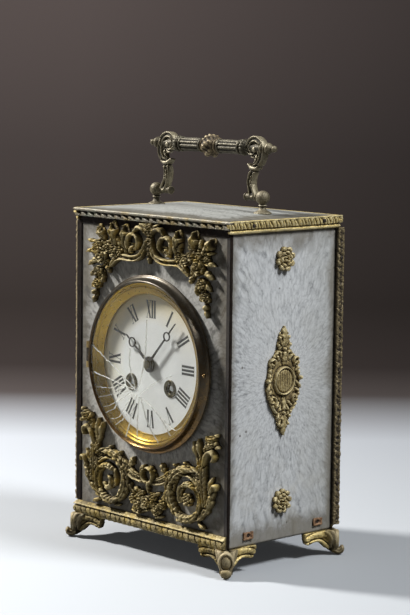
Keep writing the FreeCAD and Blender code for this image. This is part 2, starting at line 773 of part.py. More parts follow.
def polar(origin, distance, degrees):
    angle = math.radians(degrees)
    return origin[0] + distance * math.cos(angle), origin[1] + distance * math.sin(angle)


def bearing(origin, target):
    return math.degrees(math.atan2(target[1] - origin[1], target[0] - origin[0]))


def two_circles(a, ra, b, rb):
    """The meeting point of two circles that lies to the left of the way from a to b."""
    span = math.hypot(b[0] - a[0], b[1] - a[1])
    along = (ra * ra - rb * rb + span * span) / (2 * span)
    side = math.sqrt(ra * ra - along * along)
    ux, uz = (b[0] - a[0]) / span, (b[1] - a[1]) / span
    return a[0] + along * ux - side * uz, a[1] + along * uz + side * ux


CENTRE = (0.0, 0.0)
GOING = (WIND_X, -WIND_DROP)
STRIKE = (-WIND_X, -WIND_DROP)
INTER = two_circles(CENTRE, INTER_M * (INTER_TEETH + CENTRE_LEAVES) / 2,
                    GOING, GREAT_M * (GREAT_TEETH + INTER_LEAVES) / 2)
THIRD = polar(CENTRE, CENTRE_M * (CENTRE_TEETH + THIRD_LEAVES) / 2, THIRD_ANGLE)
FOURTH = polar(THIRD, THIRD_M * (THIRD_TEETH + FOURTH_LEAVES) / 2, FOURTH_ANGLE)
FOURTH_TIP = FOURTH_M * (FOURTH_TEETH / 2 + TOOTH_TIP)
ESCAPE = polar(FOURTH, FOURTH_TIP + ARBOR_R + GAP, ESCAPE_ANGLE)
BALANCE = polar(ESCAPE, ESCAPE_R + ESCAPE_STAFF_R + GAP, BALANCE_ANGLE)
MINUTE_AT = polar(CENTRE, CANNON_M * (CANNON_TEETH + MINUTE_TEETH) / 2, MINUTE_ANGLE_AT)
HOUR_M = CANNON_M * (CANNON_TEETH + MINUTE_TEETH) / (MINUTE_LEAVES + HOUR_TEETH)
HAMMER_TOP = (BELL_R + HAMMER_CLEAR + HAMMER_R, HAMMER_RISE - BELL_DROP)

# Layers of the train, counted back from the front plate and on from the back plate
CENTRE_LAYER = TRAIN_FRONT_Y + END_PLAY + WHEEL_T
DRUM_FRONT_Y = CENTRE_LAYER + WHEEL_T + TRAIN_STEP
GREAT_Y = DRUM_FRONT_Y + DRUM_LEN
INTER_LAYER = GREAT_Y + GREAT_WHEEL_T + TRAIN_STEP
THIRD_LAYER = DRUM_FRONT_Y + DRUM_LEN / 3
FOURTH_LAYER = DRUM_FRONT_Y + DRUM_LEN * 2 / 3


def arbor(at, front_y=None):
    """Staff between the plates, with a pivot in each."""
    x, z = at
    shoulder_front, shoulder_back = TRAIN_FRONT_Y + END_PLAY, TRAIN_BACK_Y - END_PLAY
    start = PLATE_FRONT_Y if front_y is None else front_y
    return [rod(x, z, shoulder_front, shoulder_back, ARBOR_R),
            rod(x, z, start, PLATE_BACK_Y, PINION_PIVOT_R)]


def pinion(at, mate, y0, thick, leaves, module):
    return gear(at[0], at[1], y0, thick, leaves, module, bearing(at, mate), False)


def wheel(at, mate, y0, thick, teeth, module):
    return gear(at[0], at[1], y0, thick, teeth, module, bearing(at, mate))


def train_wheel(at, wheel_y, teeth, module, mate, pinion_y, leaves, pinion_m, driver):
    overlap = WHEEL_T / 2
    disc = wheel(at, mate, wheel_y, WHEEL_T, teeth, module)
    leaves_part = pinion(at, driver, pinion_y - overlap, WHEEL_T + 2 * overlap, leaves, pinion_m)
    return fuse(arbor(at) + [disc, leaves_part])


def intermediate_wheel():
    leaves = pinion(INTER, GOING, GREAT_Y, GREAT_WHEEL_T, INTER_LEAVES, GREAT_M)
    disc = wheel(INTER, CENTRE, INTER_LAYER, WHEEL_T, INTER_TEETH, INTER_M)
    return fuse(arbor(INTER) + [leaves, disc])


def centre_wheel():
    """Centre staff; its front pivot runs on through the dial to the hand nut."""
    disc = wheel(CENTRE, THIRD, CENTRE_LAYER, WHEEL_T, CENTRE_TEETH, CENTRE_M)
    leaves = pinion(CENTRE, INTER, INTER_LAYER - WHEEL_T / 2, 2 * WHEEL_T, CENTRE_LEAVES, INTER_M)
    nose = MINUTE_HAND_Y - HAND_NUT_T / 2
    staff = [rod(0, 0, nose, TRAIN_FRONT_Y + END_PLAY, ARBOR_R)]
    return fuse(arbor(CENTRE) + staff + [disc, leaves])


def barrel(at, mate):
    """Hollow spring drum with the great wheel as its back wall."""
    x, z = at
    drum = rod(x, z, DRUM_FRONT_Y, GREAT_Y, DRUM_R)
    great = wheel(at, mate, GREAT_Y, GREAT_WHEEL_T, GREAT_TEETH, GREAT_M)
    hollow = rod(x, z, DRUM_FRONT_Y + DRUM_WALL, GREAT_Y, DRUM_R - DRUM_WALL)
    bore = rod(x, z, DRUM_FRONT_Y, GREAT_Y + GREAT_WHEEL_T, BARREL_ARBOR_R + SLIP)
    return drum.fuse(great).cut(hollow).cut(bore)


def mainspring(at):
    """Run down spring, its turns lying against the wall of the drum."""
    x, z = at
    outer_r = DRUM_R - DRUM_WALL - GAP
    samples = 12
    count = int(SPRING_TURNS * samples)

    def edge(radius):
        curve = Part.BSplineCurve()
        points = []
        for k in range(count + 1):
            angle = 2 * math.pi * k / samples
            reach = radius - SPRING_PITCH * k / samples
            points.append(V(x + reach * math.cos(angle), DRUM_FRONT_Y + DRUM_WALL + GAP,
                            Z_DIAL + z + reach * math.sin(angle)))
        curve.interpolate(points)
        return curve.toShape(), points

    outside, outside_points = edge(outer_r)
    inside, inside_points = edge(outer_r - SPRING_T)
    ends = [Part.LineSegment(outside_points[k], inside_points[k]).toShape() for k in (0, -1)]
    strip_face = Part.Face(Part.Wire([outside, ends[1], inside, ends[0]]))
    return strip_face.extrude(V(0, DRUM_LEN - DRUM_WALL - 2 * GAP, 0))


def winding_arbor(at):
    """Barrel arbor with its ratchet in front of the plate and a square for the key."""
    x, z = at
    shaft = rod(x, z, TRAIN_FRONT_Y + END_PLAY, TRAIN_BACK_Y - END_PLAY, BARREL_ARBOR_R)
    pivots = rod(x, z, PLATE_FRONT_Y - GAP - RATCHET_T, PLATE_BACK_Y, BARREL_PIVOT_R)
    ratchet = gear(x, z, PLATE_FRONT_Y - GAP - RATCHET_T, RATCHET_T, RATCHET_TEETH, RATCHET_M, 0.0)
    half = WIND_SQUARE / 2
    square = box(x - half, x + half, PAN_BACK_Y, PLATE_FRONT_Y - GAP - RATCHET_T,
                 Z_DIAL + z - half, Z_DIAL + z + half)
    return fuse([shaft, pivots, ratchet, square])


def front_plate():
    plate = rod(0, 0, PLATE_FRONT_Y, TRAIN_FRONT_Y, PLATE_R)
    stud = rod(MINUTE_AT[0], MINUTE_AT[1], MINUTE_STUD_Y, PLATE_FRONT_Y, PINION_PIVOT_R)
    for at in (INTER, THIRD, FOURTH, ESCAPE):
        plate = plate.cut(rod(at[0], at[1], PLATE_FRONT_Y, TRAIN_FRONT_Y, PINION_PIVOT_R + SLIP))
    for x, z in wind_points():
        plate = plate.cut(rod(x, z, PLATE_FRONT_Y, TRAIN_FRONT_Y, BARREL_PIVOT_R + SLIP))
    plate = plate.cut(rod(0, 0, PLATE_FRONT_Y, TRAIN_FRONT_Y, ARBOR_R + SLIP))
    return plate.fuse(stud)


def back_plate():
    """Back plate with the bell post and the hammer stud riveted in it."""
    plate = rod(0, 0, TRAIN_BACK_Y, PLATE_BACK_Y, PLATE_R)
    for at in (CENTRE, INTER, THIRD, FOURTH):
        plate = plate.cut(rod(at[0], at[1], TRAIN_BACK_Y, PLATE_BACK_Y, PINION_PIVOT_R + SLIP))
    plate = plate.cut(rod(BALANCE[0], BALANCE[1], TRAIN_BACK_Y, PLATE_BACK_Y, PINION_PIVOT_R + SLIP))
    plate = plate.cut(rod(ESCAPE[0], ESCAPE[1], TRAIN_BACK_Y, PLATE_BACK_Y, ARBOR_R + SLIP))
    for x, z in wind_points():
        plate = plate.cut(rod(x, z, TRAIN_BACK_Y, PLATE_BACK_Y, BARREL_PIVOT_R + SLIP))
    post = rod(0, -BELL_DROP, PLATE_BACK_Y, BELL_BACK_Y, BELL_POST_R)
    rivet = rod(0, -BELL_DROP, BELL_BACK_Y, BELL_BACK_Y + BELL_RIVET_T, BELL_RIVET_R)
    stud = rod(HAMMER_TOP[0], HAMMER_TOP[1], PLATE_BACK_Y, HAMMER_Y + 2 * HAMMER_STEM_W, HAMMER_PIVOT_R)
    return fuse([plate, post, rivet, stud])


def pillar(angle):
    x, z = polar(CENTRE, PILLAR_AT, angle)
    return rod(x, z, TRAIN_FRONT_Y, TRAIN_BACK_Y, PILLAR_R)


# Motion work between the dial and the front plate
CANNON_LAYER = PLATE_FRONT_Y - GAP - RATCHET_T - GAP - WHEEL_T
HOUR_LAYER = CANNON_LAYER - GAP - 2 * WHEEL_T
MINUTE_STUD_Y = HOUR_LAYER - GAP


def cannon_pinion():
    leaves = pinion(CENTRE, MINUTE_AT, CANNON_LAYER, WHEEL_T, CANNON_TEETH, CANNON_M)
    pipe = rod(0, 0, MINUTE_HAND_Y, CANNON_LAYER + WHEEL_T, CANNON_R)
    return leaves.fuse(pipe).cut(rod(0, 0, MINUTE_HAND_Y, PLATE_FRONT_Y, ARBOR_R + SLIP))


def minute_wheel():
    x, z = MINUTE_AT
    disc = wheel(MINUTE_AT, CENTRE, CANNON_LAYER, WHEEL_T, MINUTE_TEETH, CANNON_M)
    leaves = pinion(MINUTE_AT, CENTRE, HOUR_LAYER, CANNON_LAYER - HOUR_LAYER, MINUTE_LEAVES, HOUR_M)
    return disc.fuse(leaves).cut(rod(x, z, HOUR_LAYER, PLATE_FRONT_Y, PINION_PIVOT_R + SLIP))


def hour_wheel():
    disc = wheel(CENTRE, MINUTE_AT, HOUR_LAYER, WHEEL_T, HOUR_TEETH, HOUR_M)
    pipe = rod(0, 0, HOUR_HAND_Y, HOUR_LAYER + WHEEL_T, HOUR_PIPE_R)
    return disc.fuse(pipe).cut(rod(0, 0, HOUR_HAND_Y, CANNON_LAYER, CANNON_R + PIPE_FIT))


def hand_nut():
    front = MINUTE_HAND_Y - HAND_NUT_T
    nut = rod(0, 0, front, MINUTE_HAND_Y, HAND_NUT_R)
    return nut.cut(rod(0, 0, MINUTE_HAND_Y - HAND_NUT_T / 2, MINUTE_HAND_Y, ARBOR_R + SLIP))


# Escapement behind the back plate
ESCAPE_Y = PLATE_BACK_Y + WHEEL_T
BALANCE_Y = ESCAPE_Y + 2 * WHEEL_T
COCK_Y = PLATE_BACK_Y + COCK_GAP


def escape_wheel():
    x, z = ESCAPE
    module = 2 * ESCAPE_R / (ESCAPE_TEETH + 2 * TOOTH_TIP)
    teeth = gear(x, z, ESCAPE_Y, WHEEL_T, ESCAPE_TEETH, module, BALANCE_ANGLE, False)
    staff = rod(x, z, TRAIN_FRONT_Y + END_PLAY, ESCAPE_Y + WHEEL_T, ARBOR_R)
    pivot = rod(x, z, PLATE_FRONT_Y, TRAIN_FRONT_Y + END_PLAY, PINION_PIVOT_R)
    return fuse([teeth, staff, pivot])


def balance_wheel():
    x, z = BALANCE
    rim = tube(x, z, BALANCE_Y, BALANCE_Y + WHEEL_T, BALANCE_R, BALANCE_R - BALANCE_RIM)
    arm = box(x - BALANCE_R + BALANCE_RIM / 2, x + BALANCE_R - BALANCE_RIM / 2, BALANCE_Y,
              BALANCE_Y + WHEEL_T, Z_DIAL + z - BALANCE_RIM / 2, Z_DIAL + z + BALANCE_RIM / 2)
    staff = rod(x, z, PLATE_BACK_Y + END_PLAY, COCK_Y - END_PLAY, ESCAPE_STAFF_R)
    pivots = rod(x, z, TRAIN_BACK_Y, COCK_Y + COCK_T, PINION_PIVOT_R)
    return fuse([rim.fuse(arm), staff, pivots])


def escapement_cock():
    """Bridge over the escape wheel that carries the back pivot of the balance."""
    foot_at = polar(BALANCE, BALANCE_R + COCK_FOOT_R + GAP, BALANCE_ANGLE)
    other_at = polar(ESCAPE, ESCAPE_R + COCK_FOOT_R + 2 * GAP, BALANCE_ANGLE + 180)
    bar = []
    for at in (foot_at, other_at):
        bar.append(rod(at[0], at[1], PLATE_BACK_Y, COCK_Y + COCK_T, COCK_FOOT_R))
    length = math.hypot(other_at[0] - foot_at[0], other_at[1] - foot_at[1])
    strap = Part.makeBox(length, COCK_T, 2 * COCK_FOOT_R, V(0, COCK_Y, Z_DIAL - COCK_FOOT_R))
    strap.rotate(V(0, 0, Z_DIAL), V(0, 1, 0), -bearing(foot_at, other_at))
    strap.translate(V(foot_at[0], 0, foot_at[1]))
    cock = fuse(bar + [strap])
    return cock.cut(rod(BALANCE[0], BALANCE[1], COCK_Y, COCK_Y + COCK_T, PINION_PIVOT_R + SLIP))


# Bell and hammer behind the back plate
BELL_RIM_Y = PLATE_BACK_Y + BELL_STAND_OFF
BELL_BACK_Y = BELL_RIM_Y + BELL_DEPTH
HAMMER_Y = PLATE_BACK_Y + GAP


def bell():
    """Shallow cup, open towards the movement, held by the rivet on its post."""
    crown_r = BELL_R * 2 / 3
    profile = [(BELL_POST_R + SLIP, BELL_DEPTH), (crown_r, BELL_DEPTH), (BELL_R, BELL_DEPTH / 2),
               (BELL_R, 0), (BELL_R - BELL_WALL, 0), (BELL_R - BELL_WALL, BELL_DEPTH / 2),
               (crown_r, BELL_DEPTH - BELL_WALL), (BELL_POST_R + SLIP, BELL_DEPTH - BELL_WALL)]
    return turned(profile, V(0, BELL_RIM_Y, Z_DIAL - BELL_DROP), V(0, 1, 0))


def hammer():
    """Stem that hangs from its stud, with a round head beside the bell."""
    x, z = HAMMER_TOP
    stem = box(x - HAMMER_STEM_W / 2, x + HAMMER_STEM_W / 2, HAMMER_Y, HAMMER_Y + HAMMER_STEM_W,
               Z_DIAL - BELL_DROP, Z_DIAL + z)
    eye = rod(x, z, HAMMER_Y, HAMMER_Y + HAMMER_STEM_W, HAMMER_PIVOT_R + HAMMER_STEM_W / 2)
    head = rod(x, -BELL_DROP, HAMMER_Y, HAMMER_Y + HAMMER_LEN, HAMMER_R)
    solid = fuse([stem, eye, head])
    return solid.cut(rod(x, z, HAMMER_Y, HAMMER_Y + HAMMER_STEM_W, HAMMER_PIVOT_R + SLIP))


# Back ring and door
def back_ring():
    inside = HALF_D - PANEL_T
    flange = tube(0, 0, HALF_D, HALF_D + BACK_RING_T, BACK_RING_R, BACK_RING_IN_R)
    wall = tube(0, 0, inside, HALF_D, BACK_RING_IN_R + BACK_RING_WALL, BACK_RING_IN_R)
    ring = fuse([flange, wall] + DOOR_HINGE.fixed(BACK_RING_T))
    return ring.cut(DOOR_HINGE.bore())


def back_door():
    start = HALF_D + BACK_RING_T + GAP
    disc = rod(0, 0, start, start + DOOR_T, DOOR_R)
    for k in range(SOUND_HOLES):
        x, z = polar(CENTRE, SOUND_HOLE_AT, k * 360.0 / SOUND_HOLES)
        disc = disc.cut(rod(x, z, start, start + DOOR_T, SOUND_HOLE_R))
    knob = rod(DOOR_KNOB_AT, 0, start + DOOR_T, start + DOOR_T + DOOR_KNOB_L, DOOR_KNOB_R)
    leaf = DOOR_HINGE.moving(BACK_RING_T + GAP, BACK_RING_T + GAP + DOOR_T)
    return fuse([disc, knob] + leaf).cut(DOOR_HINGE.bore())


# Applied mounts: reliefs drawn on a face at y = -offset and turned to their side
def ribbon(offset, path, start_w, end_w, depth):
    """A flat band along a smooth path of (x, z) points above the case base."""
    left, right = [], []
    last = len(path) - 1
    for k, (x, z) in enumerate(path):
        before, after = path[max(k - 1, 0)], path[min(k + 1, last)]
        run = math.hypot(after[0] - before[0], after[1] - before[1])
        nx, nz = -(after[1] - before[1]) / run, (after[0] - before[0]) / run
        half = (start_w + (end_w - start_w) * k / last) / 2
        left.append(V(x + nx * half, -offset, Z_BASE + z + nz * half))
        right.append(V(x - nx * half, -offset, Z_BASE + z - nz * half))
    edges = []
    for points in (left, right):
        curve = Part.BSplineCurve()
        curve.interpolate(points)
        edges.append(curve.toShape())
    ends = [Part.LineSegment(left[k], right[k]).toShape() for k in (0, -1)]
    face = Part.Face(Part.Wire([edges[0], ends[1], edges[1], ends[0]]))
    return face.extrude(V(0, -depth, 0))


def leaf(offset, base, tip, width, depth):
    """A pointed leaf between two places above the case base."""
    (x0, z0), (x1, z1) = base, tip
    length = math.hypot(x1 - x0, z1 - z0)
    nx, nz = -(z1 - z0) / length * width / 2, (x1 - x0) / length * width / 2
    place = lambda x, z: V(x, -offset, Z_BASE + z)
    middle_x, middle_z = (x0 + x1) / 2, (z0 + z1) / 2
    left = Part.Arc(place(x0, z0), place(middle_x + nx, middle_z + nz), place(x1, z1))
    right = Part.Arc(place(x1, z1), place(middle_x - nx, middle_z - nz), place(x0, z0))
    return Part.Face(Part.Wire([left.toShape(), right.toShape()])).extrude(V(0, -depth, 0))


def bloom(offset, x, z, radius, depth):
    return Part.makeCone(radius, radius / 2, depth, V(x, -offset, Z_BASE + z), V(0, -1, 0))


def spiral(x, z, start_r, end_r, start_deg, sweep_deg):
    """Points of a volute about (x, z)."""
    count = int(abs(sweep_deg) / 30) + 1
    points = []
    for k in range(count + 1):
        share = k / count
        points.append(polar((x, z), start_r + (end_r - start_r) * share, start_deg + sweep_deg * share))
    return points


def both_halves(half):
    return fuse(half + [mirrored_x(piece) for piece in half])


def garland_mount():
    """Arched rim with standing leaves, corner roses and a floral drop at each side.

    Heights are counted down from the top edge of the case."""
    rim = [(0.0, 21.0), (6.0, 24.5), (13.0, 27.0), (22.0, 27.0), (33.0, 30.0), (42.0, 35.0)]
    drop = [(40.0, 25.0), (45.5, 33.0), (49.0, 41.0), (50.0, 48.0), (52.5, 56.5)]
    crest = [(0.0, 22.0), (4.5, 15.0), (10.0, 11.5), (15.0, 14.0), (14.0, 19.0), (11.0, 26.5)]
    leaves = (((22.0, 28.0), (20.0, 11.0)), ((30.0, 29.0), (32.0, 9.5)),
              ((40.0, 27.0), (44.0, 11.0)), ((44.0, 27.0), (54.0, 12.5)))
    blooms = ((37.5, 23.0, 6.0), (44.5, 28.5, 5.0), (48.5, 38.5, 4.6), (50.5, 49.0, 3.4))

    def hung(points):
        return [(x, CASE_H - down) for x, down in points]

    half = [ribbon(HALF_D, hung(rim), STEM_TIP_W, STEM_TIP_W, STEM_RELIEF),
            ribbon(HALF_D, hung(drop), LEAF_W, STEM_TIP_W, SPRIG_RELIEF),
            ribbon(HALF_D, hung(crest), STEM_TIP_W, STEM_TIP_W, LEAF_RELIEF)]
    for ends in leaves:
        base, tip = hung(ends)
        half.append(leaf(HALF_D, base, tip, LEAF_W, LEAF_RELIEF))
    for x, down, radius in blooms:
        half.append(bloom(HALF_D, x, CASE_H - down, radius, BLOOM_RELIEF))
    foot_point, top_point = hung([(0.0, 25.0), (0.0, 7.0)])
    half.append(leaf(HALF_D, foot_point, top_point, LEAF_W, CREST_RELIEF))
    return both_halves(half)


def scroll_mount():
    """Two leafy volutes joined under the bezel, with flowering horns and a bouquet.

    Heights are counted up from the bottom moulding and fill the field below the bezel."""
    volute = spiral(36.5, 19.0, 15.0, 5.0, 100.0, 500.0)
    arch = [(0.0, 29.5), (8.0, 31.0), (15.0, 34.0), (25.0, 35.5), (35.0, 35.0), (43.0, 31.0)]
    horn = [(46.0, 8.0), (49.0, 22.0), (49.0, 34.0), (46.0, 44.0), (42.5, 54.0)]
    branch = [(44.0, 5.0), (51.0, 9.0), (56.0, 17.0), (59.5, 27.0)]
    stem = [(0.0, 14.0), (10.0, 19.0), (20.0, 22.0)]
    leaves = (((47.0, 36.0), (41.0, 58.0)), ((50.0, 30.0), (60.0, 44.0)), ((49.0, 40.0), (58.0, 55.0)),
              ((12.0, 31.0), (11.5, 38.0)), ((42.0, 7.0), (53.5, 3.5)), ((0.0, 1.0), (0.0, 19.0)),
              ((0.0, 12.0), (0.0, 36.0)))
    blooms = ((57.5, 54.0, 4.6), (55.0, 43.5, 4.0), (7.0, 9.0, 6.5), (14.5, 13.0, 4.0))
    stretch = (LOWER_FIELD - BOTTOM_MOULD_H) / SCROLL_FIELD

    def raised(points):
        return [(x, BOTTOM_MOULD_H + up * stretch) for x, up in points]

    half = [ribbon(HALF_D, raised(volute), STEM_W, STEM_TIP_W, CREST_RELIEF),
            ribbon(HALF_D, raised(arch), STEM_W, STEM_W, STEM_RELIEF),
            ribbon(HALF_D, raised(horn), STEM_W, STEM_TIP_W, SPRIG_RELIEF),
            ribbon(HALF_D, raised(branch), STEM_TIP_W, STEM_W, SPRIG_RELIEF),
            ribbon(HALF_D, raised(stem), STEM_W, STEM_W, STEM_RELIEF)]
    for ends in leaves:
        base, tip = raised(ends)
        half.append(leaf(HALF_D, base, tip, LEAF_W, LEAF_RELIEF))
    for x, up, radius in blooms:
        half.append(bloom(HALF_D, x, BOTTOM_MOULD_H + up * stretch, radius, BLOOM_RELIEF))
    return both_halves(half)


def cartouche():
    """Pointed palmette above and below a round boss framed by four scrolls."""
    middle = CASE_H / 2
    reach, half_w = CARTOUCHE_H / 2, CARTOUCHE_W / 2
    curl_r = half_w - CARTOUCHE_BOSS_R
    pieces = [bloom(HALF_W, 0.0, middle, CARTOUCHE_BOSS_R + STEM_TIP_W / 2, LEAF_RELIEF),
              leaf(HALF_W, (0.0, middle), (0.0, middle + reach), half_w, SPRIG_RELIEF),
              leaf(HALF_W, (0.0, middle), (0.0, middle - reach), half_w, SPRIG_RELIEF)]
    for side in (-1, 1):
        for level in (-1, 1):
            x, z = side * (half_w - curl_r), middle + level * CARTOUCHE_BOSS_R
            pieces.append(bloom(HALF_W, x, z, curl_r, STEM_RELIEF))
    return fuse(pieces)


def rosette(level):
    return bloom(HALF_W, 0.0, CASE_H / 2 + level * ROSETTE_OFF, ROSETTE_R, ROSETTE_H)


def both_sides(*shapes):
    return [about_z(shape, turn) for shape in shapes for turn in (90, 270)]


os.makedirs("parts", exist_ok=True)

# Case
save("base_plate", base_plate())
save("corner_posts", *corner_posts())
save("top_frame", top_frame())
save("front_panel", end_panel(-1, PAN_R + SLIP))
save("back_panel", end_panel(1, BACK_RING_IN_R + BACK_RING_WALL + SLIP))
save("left_panel", side_panel(-1))
save("right_panel", side_panel(1))
top_plain = top_sheet()
stud_holes = stud_cylinder(SLIP)
save("top_panel", top_plain.cut(stud_holes).cut(mirrored_x(stud_holes)))
save("top_mouldings", *top_mouldings())
save("bottom_mouldings", *bottom_mouldings())
save("upright_mouldings", *uprights())
save("trim_nails", *nails())
save("panel_clips", *[panel_clip(y) for y in CLIP_Y])
save("feet", *[foot(side, end) for side, end in corners()])
save("foot_screws", *[foot_screw(side, end) for side, end in corners()])

# Mounts
save("garland_mount", garland_mount())
save("scroll_mount", scroll_mount())
save("cartouches", *both_sides(cartouche()))
save("rosettes", *both_sides(rosette(-1), rosette(1)))

# Handle
post = handle_post()
save("handle_post_right", post)
save("handle_post_left", mirrored_x(post))
save("post_nuts", post_nut(), mirrored_x(post_nut()))
arm = leaned(handle_arm())
save("handle_arm_right", arm)
save("handle_arm_left", mirrored_x(arm))
save("grip_rod", leaned(grip_rod()))
sleeve = leaned(grip_sleeve())
save("grip_sleeves", sleeve, mirrored_x(sleeve))
save("grip_knop", leaned(grip_knop()))
finial = leaned(grip_finial())
save("grip_finials", finial, mirrored_x(finial))

# Dial, bezel and hands
save("dial_pan", dial_pan())
save("dial", dial())
save("bezel", bezel())
save("bezel_glass", bezel_glass())
save("sight_ring", sight_ring())
save("hinge_pins", BEZEL_HINGE.pin(), DOOR_HINGE.pin())
save("hour_hand", hand(HOUR_HAND_Y, HOUR_HAND_L, HOUR_HAND_W, HOUR_MOON_AT, HOUR_MOON_R,
                       HOUR_PIPE_R, HOUR_ANGLE))
save("minute_hand", hand(MINUTE_HAND_Y, MINUTE_HAND_L, MINUTE_HAND_W, MINUTE_MOON_AT,
                         MINUTE_MOON_R, CANNON_R, MINUTE_ANGLE))
save("hand_nut", hand_nut())

# Back
save("back_ring", back_ring())
save("back_door", back_door())

# Movement
save("front_plate", front_plate())
save("back_plate", back_plate())
save("pillars", *[pillar(angle) for angle in PILLAR_ANGLES])
save("going_barrel", barrel(GOING, INTER))
save("strike_barrel", barrel(STRIKE, CENTRE))
save("going_mainspring", mainspring(GOING))
save("strike_mainspring", mainspring(STRIKE))
save("going_arbor", winding_arbor(GOING))
save("strike_arbor", winding_arbor(STRIKE))
save("intermediate_wheel", intermediate_wheel())
save("centre_wheel", centre_wheel())
save("third_wheel", train_wheel(THIRD, THIRD_LAYER, THIRD_TEETH, THIRD_M, FOURTH,
                                CENTRE_LAYER, THIRD_LEAVES, CENTRE_M, CENTRE))
save("fourth_wheel", train_wheel(FOURTH, FOURTH_LAYER, FOURTH_TEETH, FOURTH_M, ESCAPE,
                                 THIRD_LAYER, FOURTH_LEAVES, THIRD_M, THIRD))
save("escape_wheel", escape_wheel())
save("balance_wheel", balance_wheel())
save("escapement_cock", escapement_cock())
save("cannon_pinion", cannon_pinion())
save("minute_wheel", minute_wheel())
save("hour_wheel", hour_wheel())
save("bell", bell())
save("hammer", hammer())
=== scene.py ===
import json
import math

import bmesh
import bpy
import numpy as np
from mathutils import Matrix, Vector


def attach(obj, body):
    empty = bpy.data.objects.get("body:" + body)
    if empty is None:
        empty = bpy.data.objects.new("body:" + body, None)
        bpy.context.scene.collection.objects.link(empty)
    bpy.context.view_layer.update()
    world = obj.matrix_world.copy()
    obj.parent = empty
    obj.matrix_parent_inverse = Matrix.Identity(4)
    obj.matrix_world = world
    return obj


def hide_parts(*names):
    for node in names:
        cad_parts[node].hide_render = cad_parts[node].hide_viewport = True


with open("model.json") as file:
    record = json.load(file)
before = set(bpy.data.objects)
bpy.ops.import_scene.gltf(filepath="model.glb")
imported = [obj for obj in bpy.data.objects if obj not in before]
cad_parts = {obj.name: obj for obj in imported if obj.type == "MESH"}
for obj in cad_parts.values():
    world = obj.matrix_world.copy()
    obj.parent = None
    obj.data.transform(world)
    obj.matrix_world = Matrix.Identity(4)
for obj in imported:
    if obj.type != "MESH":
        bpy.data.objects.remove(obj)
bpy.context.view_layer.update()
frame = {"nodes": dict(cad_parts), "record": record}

# Millimetres in the part's frame: +Z up, the dial towards -Y, the floor at 0
MM = 0.001
HALF_W, HALF_D = 68.5, 44.0
Z_BASE, Z_TOP, Z_DIAL = 16.0, 211.0, 119.4
PIVOT = (0.0, 1.5, 222.0)
POST_X, ARM_X, GRIP_RISE, LEAN = 48.3, 39.3, 29.5, 5.0
MOULD_OUT, TOP_TALL, LEAF_DROP, LOW_TALL = 3.5, 5.0, 2.5, 8.0
WIDE, DEEP, TOP_HIGH = 2 * HALF_W, 2 * HALF_D, Z_TOP - Z_BASE
TOP_LOW = TOP_HIGH - TOP_TALL
X, Y, Z = np.eye(3)
rng = np.random.default_rng(7)


# Materials
class Shade:
    """A node material; its methods add nodes and give back their outputs."""

    def __init__(self, name):
        self.made = bpy.data.materials.new(name)
        self.made.use_nodes = True
        self.tree = self.made.node_tree
        self.shader = self.tree.nodes["Principled BSDF"]

    def put(self, socket, value):
        """Give an input another node's output, a colour or a number."""
        if isinstance(value, bpy.types.NodeSocket):
            self.tree.links.new(value, socket)
        else:
            socket.default_value = (*value, 1.0) if socket.type == "RGBA" else value

    def node(self, kind, *first, **named):
        """A node whose first inputs are given in order and others by name."""
        made = self.tree.nodes.new("ShaderNode" + kind)
        for key, value in (*enumerate(first), *named.items()):
            self.put(made.inputs[key], value)
        return made

    def surface(self, **inputs):
        """Set inputs of the surface by their names, with _ for each space."""
        for key, value in inputs.items():
            self.put(self.shader.inputs[key.replace("_", " ")], value)

    def show(self, output):
        self.put(self.tree.nodes["Material Output"].inputs["Surface"], output)

    def calc(self, operation, a, b=0.0, c=0.0, clamp=False):
        made = self.node("Math", a, b, c)
        made.operation = operation
        made.use_clamp = clamp
        return made.outputs[0]

    def times(self, a, b, clamp=False):
        return self.calc("MULTIPLY", a, b, 0.0, clamp)

    def line(self, value, slope, shift):
        """Slope times the value plus the shift, kept between 0 and 1."""
        return self.calc("MULTIPLY_ADD", value, slope, shift, True)

    def above(self, value, limit):
        """Three times what the value is above a limit, kept between 0 and 1."""
        return self.times(self.calc("SUBTRACT", value, limit, clamp=True), 3.0, True)

    def squares(self, u, v):
        return self.calc("MULTIPLY_ADD", u, u, self.times(v, v))

    def total(self, *terms):
        """Sum of (value, factor) pairs."""
        out = 0.0
        for value, factor in terms:
            out = self.calc("MULTIPLY_ADD", value, factor, out)
        return out

    def ramp(self, value, *stops):
        """Colours or greys at places from 0 to 1."""
        made = self.node("ValToRGB", value)
        line = made.color_ramp
        while len(line.elements) < len(stops):
            line.elements.new(0.5)
        for element, (at, colour) in zip(line.elements, stops):
            element.position = at
            element.color = (*colour, 1.0) if isinstance(colour, tuple) else (colour, colour, colour, 1.0)
        return made.outputs["Color"]

    def mix(self, share, a, b):
        made = self.tree.nodes.new("ShaderNodeMix")
        made.data_type = "RGBA"
        for key, value in ((0, share), (6, a), (7, b)):
            self.put(made.inputs[key], value)
        return made.outputs[2]

    def scaled(self, vector, factors):
        made = self.node("VectorMath", vector, factors)
        made.operation = "MULTIPLY"
        return made.outputs[0]

    def place(self):
        """Position in the piece's own frame, in millimetres."""
        return self.scaled(self.node("TexCoord").outputs["Object"], (1 / MM,) * 3)

    def noise(self, at, scale, detail=3.0, rough=0.5, distortion=0.0):
        return self.node("TexNoise", Vector=at, Scale=scale, Detail=detail, Roughness=rough,
                         Distortion=distortion).outputs["Fac"]

    def bump(self, height, strength, distance=0.0002):
        made = self.node("Bump", Strength=strength, Distance=distance, Height=height)
        self.surface(Normal=made.outputs["Normal"])


STEPS = {4: (0.0, 0.4, 0.7, 1.0), 5: (0.0, 0.3, 0.55, 0.8, 1.0)}


